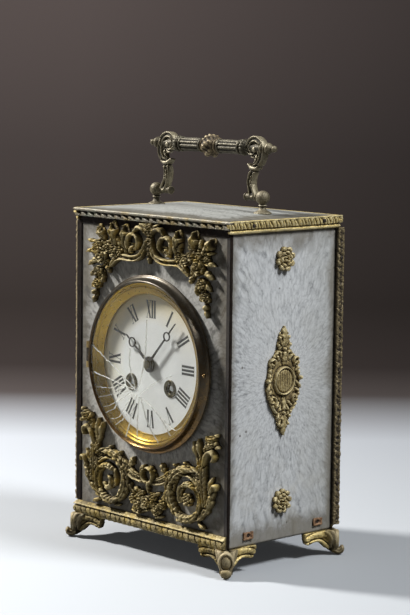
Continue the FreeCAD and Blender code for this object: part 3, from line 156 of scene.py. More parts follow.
def gilt(name, colours, rough, metallic, tint=None, gold=None, grain=0.8, steps=None):
    """Cast metal: dust and painted shade darken its hollows, wear and painted highlights lighten its ridges.
    """
    n = Shade(name)
    at = n.place()
    # Each point's value is low in hollows and high on ridges: dirt and wear, and also painted shade and
    # painted highlights.
    wear = n.node("Attribute")
    wear.attribute_name = "wear"
    stain = n.noise(at, 0.16, 4.0, 0.6)
    speck = n.noise(at, 1.3, 3.0, 0.65)
    level = n.total((wear.outputs["Fac"], 1.0), (stain, 1.0), (speck, 1.2))
    level = n.calc("SUBTRACT", level, 1.1, clamp=True)
    colour = n.ramp(level, *zip(steps or STEPS[len(colours)], colours))
    if tint:
        colour = n.mix(n.above(n.noise(at, 0.07, 4.0, 0.6), 0.5), colour, tint)
    if gold:
        left = n.line(n.noise(at, 0.1, 3.0, 0.6, 0.5), 6.0, -3.0)
        colour = n.mix(n.times(left, level), colour, gold)
    n.surface(Base_Color=colour, Metallic=metallic,
              Roughness=n.ramp(level, (0.0, rough[1]), (1.0, rough[0])))
    n.bump(speck, grain, 0.0003)
    return n.made


dull_gilt = gilt(
    "dull_gilt", ((0.032, 0.022, 0.009), (0.105, 0.077, 0.029), (0.215, 0.163, 0.06), (0.315, 0.246, 0.098),
                  (0.45, 0.37, 0.185)), (0.6, 0.92), 0.25, (0.075, 0.055, 0.029), (0.4, 0.285, 0.062))
# A lighter copy of the front mounts' gilt for the side shields and roses: painted light.
lit_side_gilt = gilt(
    "lit_side_gilt", ((0.05, 0.036, 0.017), (0.175, 0.129, 0.056), (0.34, 0.258, 0.107), (0.44, 0.346, 0.155),
                  (0.56, 0.47, 0.26)), (0.5, 0.8), 0.3, (0.2, 0.15, 0.075))
# A still lighter copy of the gilt, for the side and back top mouldings and the right wings of the feet:
# painted light.
lit_gilt = gilt(
    "lit_gilt", ((0.05, 0.034, 0.014), (0.27, 0.195, 0.07), (0.53, 0.4, 0.145), (0.7, 0.55, 0.225),
                    (0.82, 0.69, 0.37)), (0.45, 0.75), 0.45, (0.2, 0.165, 0.085))
silvered = gilt(
    "silvered_gilt", ((0.012, 0.009, 0.006), (0.062, 0.05, 0.031), (0.145, 0.121, 0.078),
                      (0.2, 0.173, 0.121), (0.24, 0.214, 0.162)), (0.5, 0.8), 0.25,
    (0.17, 0.2, 0.15), (0.24, 0.18, 0.07))
brown_gilt = gilt(
    "brown_gilt", ((0.014, 0.01, 0.006), (0.055, 0.038, 0.019), (0.125, 0.09, 0.044), (0.34, 0.27, 0.155)),
    (0.5, 0.8), 0.3)
shaded_gilt = gilt(
    "shaded_gilt", ((0.008, 0.005, 0.003), (0.026, 0.017, 0.008), (0.06, 0.043, 0.019), (0.2, 0.155, 0.078)),
    (0.5, 0.8), 0.3)
pewter = gilt(
    "pewter", ((0.009, 0.007, 0.004), (0.022, 0.018, 0.011), (0.047, 0.04, 0.025), (0.084, 0.073, 0.048),
               (0.155, 0.137, 0.096)), (0.42, 0.64), 0.65)
worn_foot = gilt(
    "foot_bronze", ((0.045, 0.035, 0.02), (0.17, 0.135, 0.075), (0.31, 0.25, 0.142), (0.42, 0.347, 0.207),
                    (0.54, 0.465, 0.3)), (0.5, 0.8), 0.25, (0.24, 0.175, 0.075), (0.44, 0.33, 0.12))
rusty_plate = gilt(
    "rusty_plate", ((0.012, 0.008, 0.006), (0.07, 0.032, 0.016), (0.15, 0.072, 0.032), (0.34, 0.2, 0.11)),
    (0.6, 0.9), 0.2, steps=(0.0, 0.35, 0.65, 1.0))
bronze = gilt(
    "post_bronze", ((0.016, 0.013, 0.008), (0.06, 0.05, 0.03), (0.145, 0.122, 0.076), (0.23, 0.198, 0.13),
                    (0.34, 0.305, 0.22)), (0.42, 0.7), 0.45)
arm_bronze = gilt(
    "arm_bronze", ((0.012, 0.009, 0.005), (0.042, 0.034, 0.019), (0.098, 0.081, 0.047),
                   (0.165, 0.138, 0.084), (0.27, 0.235, 0.155)), (0.42, 0.7), 0.45)
# The bezel's ramp runs from grey through dark brown to copper; with the values set round the bezel below it
# paints reflections.
bezel_gilt = gilt(
    "bezel_gilt", ((0.1, 0.088, 0.068), (0.054, 0.042, 0.028), (0.08, 0.05, 0.02), (0.265, 0.148, 0.046)),
    (0.22, 0.36), 0.75, grain=0.06, steps=(0.0, 0.3, 0.6, 1.0))


def tinted(colour, level, by=(1.0, 1.0, 1.0)):
    return tuple(level * part * share for part, share in zip(colour, by))


def moire(name, across, centre, half, pale, dark, stain_level, blots, streaks=0.0, dust_and_painted_light_level=0.0):
    """Tinned sheet: crystal feathers that spread from the middle, dark dirt along its edges."""
    n = Shade(name)
    at = n.place()
    parts = n.node("SeparateXYZ", at).outputs
    u, v = (n.calc("SUBTRACT", parts[axis], middle) for axis, middle in zip(across, centre))
    # The feathers lie along the rays: their pattern runs over the angle and the log of the distance
    wobble = n.noise(at, 0.05, 3.0, 0.55)
    reach = n.calc("LOGARITHM", n.calc("ADD", n.squares(u, v), 160.0), 2.71828)
    turn = n.total((n.calc("ARCTAN2", v, u), 36.0), (wobble, 7.0))
    run = n.total((reach, 7.5), (wobble, 5.0))
    feather_at = n.node("CombineXYZ", turn, run).outputs[0]
    ripple = n.noise(feather_at, 1.0, 2.0, 0.5, 0.8)
    flakes = n.node("TexVoronoi", Vector=feather_at, Scale=1.0).outputs
    flake = n.node("SeparateColor", flakes["Color"]).outputs[0]
    grain = n.noise(at, 0.8, 3.0, 0.65)
    cloud = n.noise(at, 0.022, 3.0, 0.5)
    tone = n.total((flakes["Distance"], -0.85), (flake, 0.45), (ripple, 0.6), (grain, 1.0), (cloud, 0.8))
    if streaks:
        lines = n.noise(n.scaled(at, (0.012, 0.22, 0.02)), 1.0, 3.0, 0.6)
        tone = n.total((lines, streaks), (tone, 1.0), (streaks, -0.5))
    tone = n.line(tone, 0.95, -0.22)
    shares = [n.calc("DIVIDE", n.calc("ABSOLUTE", way), end) for way, end in zip((u, v), half)]
    rim = n.calc("MAXIMUM", *shares)
    edge = n.line(rim, 2.2, -1.25)
    cells = n.line(n.node("TexVoronoi", Vector=feather_at, Scale=0.42).outputs["Distance"], -3.4, 1.5)
    tone = n.total((n.times(cells, edge), -0.42), (edge, -0.1), (tone, 1.0))
    middle = tuple(0.4 * a + 0.6 * b for a, b in zip(dark, pale))
    colour = n.ramp(tone, (0.0, dark), (0.45, middle), (1.0, pale))
    # Yellow tarnish low on the panel and in drifting patches, grime along the rim
    low = n.calc("MAXIMUM", n.calc("MULTIPLY_ADD", parts[2], -0.011, 0.85), 0.0)
    patch = n.noise(at, 0.045, 4.0, 0.6)
    stain = n.times(n.above(patch, 0.46), n.calc("ADD", low, stain_level), True)
    colour = n.mix(stain, colour, tinted(pale, 0.62, (1.0, 0.88, 0.62)))
    # Darker and patchy towards the back edge: dust, and painted shade.
    if dust_and_painted_light_level:
        dust_and_painted_light = n.times(n.line(u, 1.4 / half[0], -0.35), dust_and_painted_light_level)
        dust_and_painted_light = n.times(dust_and_painted_light, n.calc("ADD", patch, 0.5), True)
        colour = n.mix(dust_and_painted_light, colour, tinted(pale, 0.5, (1.0, 0.97, 0.86)))
    grime = n.total((rim, 9.0), (patch, 2.6), (grain, 1.2))
    grime = n.times(n.calc("SUBTRACT", grime, 9.35, clamp=True), 0.7)
    colour = n.mix(grime, colour, tinted(dark, 0.55, (1.0, 0.84, 0.6)))
    blot = n.line(n.noise(at, 0.15, 2.0, 0.45, 0.4), 9.0, -5.3)
    colour = n.mix(n.times(blot, blots), colour, tinted(dark, 0.6))
    spots = n.node("TexVoronoi", Vector=at, Scale=0.06).outputs["Distance"]
    colour = n.mix(n.times(n.calc("LESS_THAN", spots, 0.05), 0.75), colour, (0.09, 0.08, 0.065))
    n.surface(Base_Color=colour, Metallic=0.05, Specular_IOR_Level=0.15,
              Roughness=n.ramp(tone, (0.0, 0.58), (1.0, 0.42)))
    n.bump(n.total((grain, 1.0), (ripple, 0.6)), 0.15)
    return n.made


# Light and dark tones of one tinned sheet for each face. The top's are far darker: painted shade in place of
# the dark room that the real top mirrors. The front's are darker and warmer than the sides': dirt, and
# painted shade.
SIDE = ((0.68, 0.695, 0.7), (0.28, 0.288, 0.295))
FRONT = ((0.6, 0.592, 0.558), (0.19, 0.183, 0.168))
TOP = ((0.29, 0.293, 0.275), (0.12, 0.121, 0.113))
moire_right = moire("moire_right", (1, 2), (0.0, 112.0), (44.5, 95.0), *SIDE, 0.1, 0.0, dust_and_painted_light_level=0.42)
moire_left = moire("moire_left", (1, 2), (4.0, 108.0), (48.0, 95.0), *SIDE, 0.14, 0.15)
moire_front = moire("moire_front", (0, 2), (0.0, 113.0), (67.0, 92.0), *FRONT, 0.3, 0.7)
moire_back = moire("moire_back", (0, 2), (0.0, 113.0), (67.0, 92.0), *FRONT, 0.22, 0.4)
moire_top = moire("moire_top", (0, 1), (-10.0, 6.0), (72.0, 48.0), *TOP, 0.12, 0.2, streaks=1.8)


def painted_warm_reflection(n, plain):
    """Painted warm reflection of the gold sight ring on the enamel, towards the rim, most of all above and
    to the left, where the bezel's shadow lies.
    """
    parts = n.node("SeparateXYZ", n.place()).outputs
    x, z = parts[0], n.calc("SUBTRACT", parts[2], Z_DIAL)
    reach = n.calc("SQRT", n.squares(x, z))
    high = n.total((z, 0.018), (x, -0.01), (1.0, 0.25))
    share = n.times(n.line(reach, 0.055, -1.35), n.calc("MAXIMUM", high, 0.0), True)
    return n.mix(share, plain, (0.96, 0.77, 0.36))


def stained(name, light, dark, rough, metallic, scale, strength=0.2, over=None, **more):
    """Two tones drifting into each other over a slightly uneven surface."""
    n = Shade(name)
    at = n.place()
    fine = n.noise(at, scale * 9.0, 3.0, 0.6)
    blend = n.total((n.noise(at, scale, 4.0, 0.6), 0.75), (fine, 0.25))
    colour = n.ramp(blend, (0.35, dark), (0.65, light))
    n.surface(Base_Color=over(n, colour) if over else colour, Metallic=metallic,
              Roughness=n.ramp(fine, (0.25, rough[0]), (0.75, rough[1])), **more)
    n.bump(fine, strength)
    return n.made


black_edge = stained("black_edge", (0.02, 0.013, 0.009), (0.006, 0.004, 0.003), (0.6, 0.85), 0.0, 0.4, 0.3,
                     Specular_IOR_Level=0.12)
dark_wood = stained("dark_wood", (0.04, 0.027, 0.018), (0.01, 0.008, 0.006), (0.45, 0.7), 0.0, 0.25)
rust = stained("rust", (0.33, 0.17, 0.075), (0.12, 0.045, 0.02), (0.7, 0.95), 0.1, 0.9, 0.5)
dark_iron = stained("dark_iron", (0.05, 0.035, 0.025), (0.015, 0.012, 0.01), (0.45, 0.7), 0.5, 0.8, 0.4)
steel = stained("steel", (0.42, 0.415, 0.4), (0.26, 0.255, 0.25), (0.28, 0.45), 1.0, 0.3)
brass = stained("movement_brass", (0.66, 0.48, 0.18), (0.44, 0.31, 0.11), (0.24, 0.42), 1.0, 0.12)
pan_brass = stained("pan_brass", (0.4, 0.29, 0.12), (0.2, 0.14, 0.06), (0.3, 0.5), 1.0, 0.15)
bell_metal = stained("bell_metal", (0.62, 0.44, 0.2), (0.45, 0.31, 0.13), (0.2, 0.35), 1.0, 0.08)
blued = stained("blued_steel", (0.018, 0.017, 0.018), (0.007, 0.007, 0.008), (0.25, 0.38), 0.5, 0.5, 0.05)
boss = stained("hand_boss", (0.1, 0.085, 0.05), (0.03, 0.026, 0.016), (0.3, 0.45), 0.9, 0.7, 0.1)
enamel = stained("enamel", (0.93, 0.94, 0.94), (0.84, 0.85, 0.85), (0.15, 0.25), 0.0, 0.07, 0.02, painted_warm_reflection)
ink = stained("dial_ink", (0.022, 0.021, 0.02), (0.012, 0.012, 0.012), (0.3, 0.45), 0.0, 0.8, 0.05)
polished = stained("polished_gilt", (0.31, 0.192, 0.02), (0.2, 0.116, 0.009), (0.24, 0.38), 0.85, 0.05, 0.03)
back_gilt = stained("back_gilt", (0.4, 0.29, 0.12), (0.19, 0.13, 0.055), (0.25, 0.42), 1.0, 0.06, 0.1)
crack = stained("crack_edge", (0.9, 0.91, 0.88), (0.7, 0.7, 0.66), (0.15, 0.3), 0.0, 0.6, 0.1, Alpha=0.55)


def clear_glass():
    """Clear from both sides, with a faint shine and dusty smears on its outer face; the smears' warm yellow
    also paints in light reflected from the gold sight ring.
    """
    n = Shade("clear_glass")
    n.tree.nodes.remove(n.shader)
    smear = n.noise(n.place(), 0.09, 4.0, 0.6)
    outer = n.calc("SUBTRACT", 1.0, n.node("NewGeometry").outputs["Backfacing"])
    clear = n.node("BsdfTransparent", (0.988, 0.993, 0.988)).outputs[0]
    dust_and_painted_light = n.node("BsdfDiffuse", (0.92, 0.76, 0.38)).outputs[0]
    gloss = n.node("BsdfGlossy", Roughness=n.ramp(smear, (0.3, 0.02), (0.8, 0.08))).outputs[0]
    # The dust veil is partly painted light: it lightens and warms the dial behind it as reflected light from
    # the gold sight ring would.
    dust_and_painted_light_level = n.times(outer, n.ramp(smear, (0.3, 0.014), (0.75, 0.05)))
    shine = n.times(n.node("Fresnel", IOR=1.5).outputs[0], n.times(outer, 0.5))
    veil = n.node("MixShader", dust_and_painted_light_level, clear, dust_and_painted_light).outputs[0]
    n.show(n.node("MixShader", shine, veil, gloss).outputs[0])
    return n.made


glass = clear_glass()


# Meshes
def placed(at, across, up, out):
    """Maps a shape's own three axes onto the frame, from a place."""
    axes = np.array((across, up, out))

    def mapping(points):
        return np.asarray(at) + points @ axes

    return mapping


on_front = placed((0, -HALF_D, Z_BASE), X, Z, -Y)
on_back = placed((0, HALF_D, Z_BASE), -X, Z, Y)
on_right = placed((HALF_W, 0, Z_BASE), Y, Z, X)
on_left = placed((-HALF_W, 0, Z_BASE), -Y, Z, -X)


class Cluster:
    """Closed shapes gathered into one piece."""

    def __init__(self):
        self.points, self.faces, self.wear, self.count = [], [], [], 0

    def add(self, points, faces, wear=None):
        points = np.asarray(points, float)
        self.points.append(points)
        self.faces += [tuple(i + self.count for i in face) for face in faces]
        self.wear.append(np.full(len(points), 0.6) if wear is None else np.asarray(wear, float))
        self.count += len(points)

    def lay(self, relief, *mappings):
        points, faces, wear = relief.mesh()
        for mapping in mappings:
            self.add(mapping(points), faces, wear)

    def turn(self, profile, steps, mapping, wave=None, step=0.2, shine=1.0):
        points, faces, wear = lathe(profile, steps, wave, step)
        self.add(mapping(points), faces, shine * wear)

    def build(self, name, material, body, slot, *replaced, smooth=True, moved=None):
        points = np.concatenate(self.points)
        if moved is not None:
            points = moved(points)
        mesh = bpy.data.meshes.new(name)
        mesh.from_pydata((points * MM).tolist(), [], self.faces)
        # Each point's value of dirt, wear and painted light, which the gilt materials read.
        layer = mesh.attributes.new("wear", "FLOAT", "POINT")
        layer.data.foreach_set("value", np.concatenate(self.wear).astype(np.float32))
        shell = bmesh.new()
        shell.from_mesh(mesh)
        bmesh.ops.recalc_face_normals(shell, faces=shell.faces)
        shell.to_mesh(mesh)
        shell.free()
        mesh.polygons.foreach_set("use_smooth", [smooth] * len(mesh.polygons))
        mesh.materials.append(material)
        made = bpy.data.objects.new(name, mesh)
        bpy.context.scene.collection.objects.link(made)
        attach(made, body)
        if replaced:
            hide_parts(*replaced)
        return made


def spline(points, step=0.4):
    """Points along a smooth curve through the given ones."""
    p = np.asarray(points, float)
    q = np.vstack([2 * p[0] - p[1], p, 2 * p[-1] - p[-2]])
    out = []
    for k in range(len(p) - 1):
        a, b, c, d = q[k:k + 4]
        count = max(2, int(np.linalg.norm(c - b) / step))
        t = np.linspace(0, 1, count, endpoint=False)[:, None]
        out.append(0.5 * (2 * b + (c - a) * t + (2 * a - 5 * b + 4 * c - d) * t ** 2
                          + (3 * b - a - 3 * c + d) * t ** 3))
    return np.vstack(out + [p[-1:]])


def along(values, t):
    values = np.atleast_1d(np.asarray(values, float))
    return np.interp(t, np.linspace(0, 1, len(values)), values)


def spiral(x, z, radii, a0, a1, count=30):
    t = np.linspace(0, 1, count)
    angle = np.radians(a0 + (a1 - a0) * t)
    return np.column_stack([x + along(radii, t) * np.cos(angle), z + along(radii, t) * np.sin(angle)])


def bowed(base, tip, lift=0.0):
    """A base, a tip and the point halfway, lifted a little."""
    return [base, ((base[0] + tip[0]) / 2, (base[1] + tip[1]) / 2 + lift), tip]


def blur(field, cells):
    """Gaussian blur of a grid; outside it the field is 0."""
    reach = max(1, int(math.ceil(2.5 * cells)))
    kernel = np.exp(-0.5 * (np.arange(-reach, reach + 1) / cells) ** 2)
    kernel /= kernel.sum()
    for axis in (0, 1):
        pad = [(reach, reach) if a == axis else (0, 0) for a in (0, 1)]
        field = np.apply_along_axis(np.convolve, axis, np.pad(field, pad), kernel, "valid")
    return field


def quads(rows, steps, loop=False):
    """Faces between rows of points round a tube, with its two ends closed unless it is a loop."""
    faces = []
    for k in range(rows if loop else rows - 1):
        here, there = k * steps, (k + 1) % rows * steps
        for m in range(steps):
            n = (m + 1) % steps
            faces.append((here + m, here + n, there + n, there + m))
    if not loop:
        faces += [tuple(range(steps)), tuple(range((rows - 1) * steps, rows * steps))]
    return faces


def lathe(profile, steps=64, wave=None, step=0.2):
    """Turned about the third axis, from (radius, height); a profile that ends where it starts is a ring."""
    loop = tuple(profile[0]) == tuple(profile[-1])
    line = spline(profile, step)
    if loop:
        line = line[:-1]
    angle = np.linspace(0, 2 * np.pi, steps, endpoint=False)
    radius = np.repeat(line[:, :1], steps, axis=1)
    height = np.repeat(line[:, 1:2], steps, axis=1)
    if wave is not None:
        radius = wave(radius, height, angle[None, :])
    mean = blur(np.pad(radius, ((6, 6), (6, 6)), "edge"), 3.0)[6:-6, 6:-6]
    # Lighter where the profile swells and darker where it dips: wear, and painted highlights and painted
    # shade.
    wear = np.clip(0.55 + 1.1 * (radius - mean), 0, 1).ravel()
    points = np.stack([radius * np.cos(angle), radius * np.sin(angle), height], axis=2).reshape(-1, 3)
    return points, quads(len(line), steps, loop), wear


# Cross sections of a relief stroke: u runs from -1 to 1 across it, s is millimetres along it
def bow(u):
    return np.sqrt(np.clip(1 - u * u, 0, 1))


def rounded(u, s):
    return bow(u)


def gutter(u, s):
    """A rounded rim on each side of a hollow."""
    return 0.55 + 0.45 * np.exp(-((np.abs(u) - 0.66) / 0.24) ** 2)


def acanthus(u, s):
    """Leaf band: a fat outer rim and flutes that run along it."""
    rim = np.exp(-((u - 0.7) / 0.26) ** 2)
    vein = np.cos(2 * np.pi * (s / 5.2 - 0.8 * u)) * np.clip(0.5 - u, 0, 1)
    return 0.48 + 0.4 * rim + 0.05 * vein + 0.12 * np.cos(5.4 * np.pi * u) * (u < 0.45)


def chased(u, s):
    """A round stem cut across by slanting strokes."""
    return bow(u) * (0.85 + 0.15 * np.cos(2 * np.pi * (s / 2.8 + 0.45 * u)))


PLUME = (0.4, 0.66, 0.92, 1.0, 0.66)
BLADE = (0.5, 0.9, 1.0, 0.7, 0.14)


class Relief:
    """A casting in relief, kept as heights over a fine grid on a flat face."""

    MARGIN = 1.5

    def __init__(self, x0, x1, z0, z1, step=0.3, level=0.0):
        self.step, self.level, self.flip = step, level, 1
        xs = np.arange(x0, x1 + step, step)
        zs = np.arange(level + z0, level + z1 + step, step)
        self.xs, self.zs = xs, zs
        self.x, self.z = np.meshgrid(xs, zs)
        self.h = np.zeros_like(self.x)

    def sides(self):
        """1 and -1 in turn; what is laid meanwhile is turned to that side."""
        for self.flip in (1, -1):
            yield self.flip
        self.flip = 1

    def turned(self, points):
        return np.multiply(points, (self.flip, 1)) + (0, self.level)

    def window(self, low, high):
        i0, i1 = np.searchsorted(self.zs, [low[1], high[1]])
        j0, j1 = np.searchsorted(self.xs, [low[0], high[0]])
        return slice(max(i0 - 1, 0), i1 + 1), slice(max(j0 - 1, 0), j1 + 1)

    def lay(self, win, out, top):
        """Lay a shape over what is there; out is the distance outside its edge."""
        part = self.h[win]
        cut = np.where((out > 0) & (out < 1.0), 0.45 + 0.55 * np.clip(out, 0, 1), 1.0)
        left = part * np.where(part < 1.2 * np.max(top), cut, 1.0)
        part[:] = np.where(out < 0, np.maximum(top, 0.8 * part), left)

    def nearest(self, points, reach):
        """Window, distance, share of the length, side and length gone, at the nearest point of a line."""
        line = spline(self.turned(points))
        win = self.window(line.min(0) - reach - self.MARGIN, line.max(0) + reach + self.MARGIN)
        x, z = self.x[win], self.z[win]
        near, index = np.full(x.shape, np.inf), np.zeros(x.shape, int)
        for k, (px, pz) in enumerate(line):
            d = (x - px) ** 2 + (z - pz) ** 2
            closer = d < near
            near[closer], index[closer] = d[closer], k
        run = np.gradient(line, axis=0)
        side = run[index, 0] * (z - line[index, 1]) - run[index, 1] * (x - line[index, 0])
        gone = np.concatenate([[0], np.cumsum(np.linalg.norm(np.diff(line, axis=0), axis=1))])
        return win, np.sqrt(near), index / (len(line) - 1), np.where(side < 0, -1, 1), gone[index]

    def stroke(self, points, width, height, section=rounded, hand=1, base=0.3):
        win, reach, t, side, gone = self.nearest(points, np.max(width))
        half = along(width, t)
        u = np.clip(hand * side * reach / half, -1, 1)
        self.lay(win, reach - half, along(height, t) * (base + (1 - base) * section(u, gone)))

    def leaf(self, points, width, height, lobes=0, outline=BLADE, rise=(0.6, 0.85, 1.0, 0.85), notch=0.34):
        """A leaf with a grooved midrib; lobes cut its edges and raise its veins, wide ones are fluted."""
        win, reach, t = self.nearest(points, width)[:3]
        half = width * along(outline, t)
        u = reach / half
        saw = (lobes > 0) * (0.5 - 0.5 * np.cos(2 * np.pi * (t * lobes - 0.45 * np.clip(u, 0, 1))))
        limit = 1 - notch * saw
        share = np.clip(u / limit, 0, 1)
        dome = np.sqrt(1 - 0.78 * share ** 2) * (1 - 0.2 * saw * share)
        rib = 1 - 0.24 * np.exp(-(reach / (0.16 * width)) ** 2) * np.clip(1.2 - t, 0, 1)
        rib -= 0.07 * (1 - np.cos(2 * np.pi * share * width / 1.45)) * (width > 2.4)
        self.lay(win, (u - limit) * half, height * along(rise, t) * dome * rib)

    def leaves(self, height, lobes, *rows):
        """Leaves of one height, each given as its points and its width."""
        for *points, width in rows:
            self.leaf(points, width, height, lobes)

    def trumpet(self, points, width, height):
        """A flower seen from the side, with a dark open mouth at its end."""
        self.leaf(points, width, height, 3, PLUME, (0.5, 0.7, 0.9, 1.0, 1.0), 0.22)
        before, tip = self.turned(points)[-2:]
        run = (tip - before) / np.linalg.norm(tip - before)
        x, z = self.x - tip[0] - 0.8 * run[0] - 0.45 * width, self.z - tip[1] - 0.8 * run[1]
        mouth = ((x * run[0] + z * run[1]) / 4.4) ** 2 + ((z * run[0] - x * run[1]) / (0.85 * width)) ** 2
        self.h = np.where((mouth < 1) & (self.h > 0), 0.22 * height, self.h)

    def disc(self, x0, z0, radius, phase=0.0):
        """Window round a point, with the distance and the angle from it."""
        middle = self.turned((x0, z0))
        win = self.window(middle - radius - self.MARGIN, middle + radius + self.MARGIN)
        dx, dz = self.x[win] - middle[0], self.z[win] - middle[1]
        return win, np.hypot(dx, dz), np.arctan2(dz, dx) + math.radians(phase)

    def flower(self, x0, z0, radius, height, petals=5, phase=0.0):
        """Two rings of cupped petals round an eye."""
        win, rho, angle = self.disc(x0, z0, radius, phase)
        for scale, lift, shift in ((1.0, 0.8, 0.0), (0.6, 1.0, math.pi / petals)):
            wave = np.abs(np.cos(petals * (angle + shift) / 2))
            edge = radius * scale * (0.72 + 0.28 * wave ** 0.6)
            cup = 0.42 + 0.58 * np.sin(np.pi * (0.08 + 0.62 * np.clip(rho / edge, 0, 1) ** 1.4))
            self.lay(win, rho - edge, height * lift * cup * (0.62 + 0.38 * wave ** 0.45))
        self.bead(x0, z0, radius * 0.2, 0.9 * height)

    def rose(self, x0, z0, radius, height, phase=0.0):
        """A full rose: three rings of petals inside each other."""
        win, rho, angle = self.disc(x0, z0, radius, phase)
        for scale, lift, petals, shift in ((1.0, 0.74, 5, 0.0), (0.68, 0.92, 4, 0.7), (0.34, 1.0, 3, 0.3)):
            wave = np.abs(np.cos(petals * (angle + shift) / 2))
            edge = radius * scale * (0.78 + 0.22 * wave ** 0.6)
            cup = 0.66 + 0.34 * np.clip(rho / edge, 0, 1) ** 1.5
            self.lay(win, rho - edge, height * lift * cup * (0.7 + 0.3 * wave ** 0.5))

    def bead(self, x0, z0, radius, height):
        win, rho, _ = self.disc(x0, z0, radius)
        self.lay(win, rho - radius, height * (0.5 + 0.5 * bow(rho / radius)))

    def roughen(self, amount):
        fine, broad = (blur(rng.normal(size=self.h.shape), cells) for cells in (1.1, 3.0))
        rough = self.h + amount * (2.4 * fine + 6.4 * broad)
        self.h = np.where(self.h > 0, np.maximum(rough, 0.5 * self.h), 0)

    def mesh(self, two_sided=False):
        """(x, z, height) points with faces and a value for the material, closed at the back: dirt and
        painted shade in hollows, wear and painted highlights on ridges.
        """
        h = self.h
        solid = h > 0
        cell = solid[:-1, :-1] & solid[1:, :-1] & solid[:-1, 1:] & solid[1:, 1:]
        used = np.zeros_like(solid)
        for di in (0, 1):
            for dj in (0, 1):
                used[di:di + cell.shape[0], dj:dj + cell.shape[1]] |= cell
        weight = blur(solid.astype(float), 0.7)
        top = 0.5 * h + 0.5 * blur(h, 0.7) / np.maximum(weight, 1e-6)
        span = np.percentile(h[used], 95)
        hollow = h - blur(h, 1.0 / self.step)
        # Darker in hollows and lighter on high ground: dirt and wear, partly painted shade and painted
        # highlights.
        rubbing_and_painted_light = np.clip(0.45 + 3.8 * hollow / span + 0.45 * (h / span - 0.7), 0, 1)[used]
        ids = np.full(h.shape, -1)
        n = int(used.sum())
        ids[used] = np.arange(n)
        i, j = np.nonzero(cell)
        front = np.column_stack([ids[i, j], ids[i, j + 1], ids[i + 1, j + 1], ids[i + 1, j]])
        # The outline's steps are smoothed along the edges that only one face has
        edges = np.vstack([front[:, [k, (k + 1) % 4]] for k in range(4)])
        key = np.sort(edges, axis=1)
        _, first, counts = np.unique(key[:, 0] * n + key[:, 1], return_index=True, return_counts=True)
        rim = edges[first[counts == 1]]
        flat = np.column_stack([self.x[used], self.z[used]])
        for _ in range(3):
            near, number = np.zeros((n, 2)), np.zeros(n)
            for a, b in ((0, 1), (1, 0)):
                np.add.at(near, rim[:, a], flat[rim[:, b]])
                np.add.at(number, rim[:, a], 1)
            on = number > 0
            flat[on] = 0.5 * flat[on] + 0.5 * near[on] / number[on][:, None]
        height = top[used]
        behind = (-height, rubbing_and_painted_light) if two_sided else (np.zeros(n), np.zeros(n))
        points = np.vstack([np.column_stack([flat, height]), np.column_stack([flat, behind[0]])])
        walls = np.column_stack([rim[:, 1], rim[:, 0], rim[:, 0] + n, rim[:, 1] + n])
        faces = front.tolist() + (front[:, ::-1] + n).tolist() + walls.tolist()
        return points, faces, np.concatenate([rubbing_and_painted_light, behind[1]])


# Mount over the dial: its flowers that stand up differ from side to side
TRUMPETS = {1: (((46, 171), (51, 176), (56.4, 182.6), 3.8), ((36, 169), (38.6, 176), (41, 186), 4),
                ((24, 168), (25.4, 175), (26.4, 185.6), 3.8)),
            -1: (((41, 171), (44, 177), (47.4, 184.6), 3.6), ((31, 169), (32.6, 177), (34.4, 187), 4),
                 ((21, 168), (21.8, 175), (22.4, 186), 3.8))}


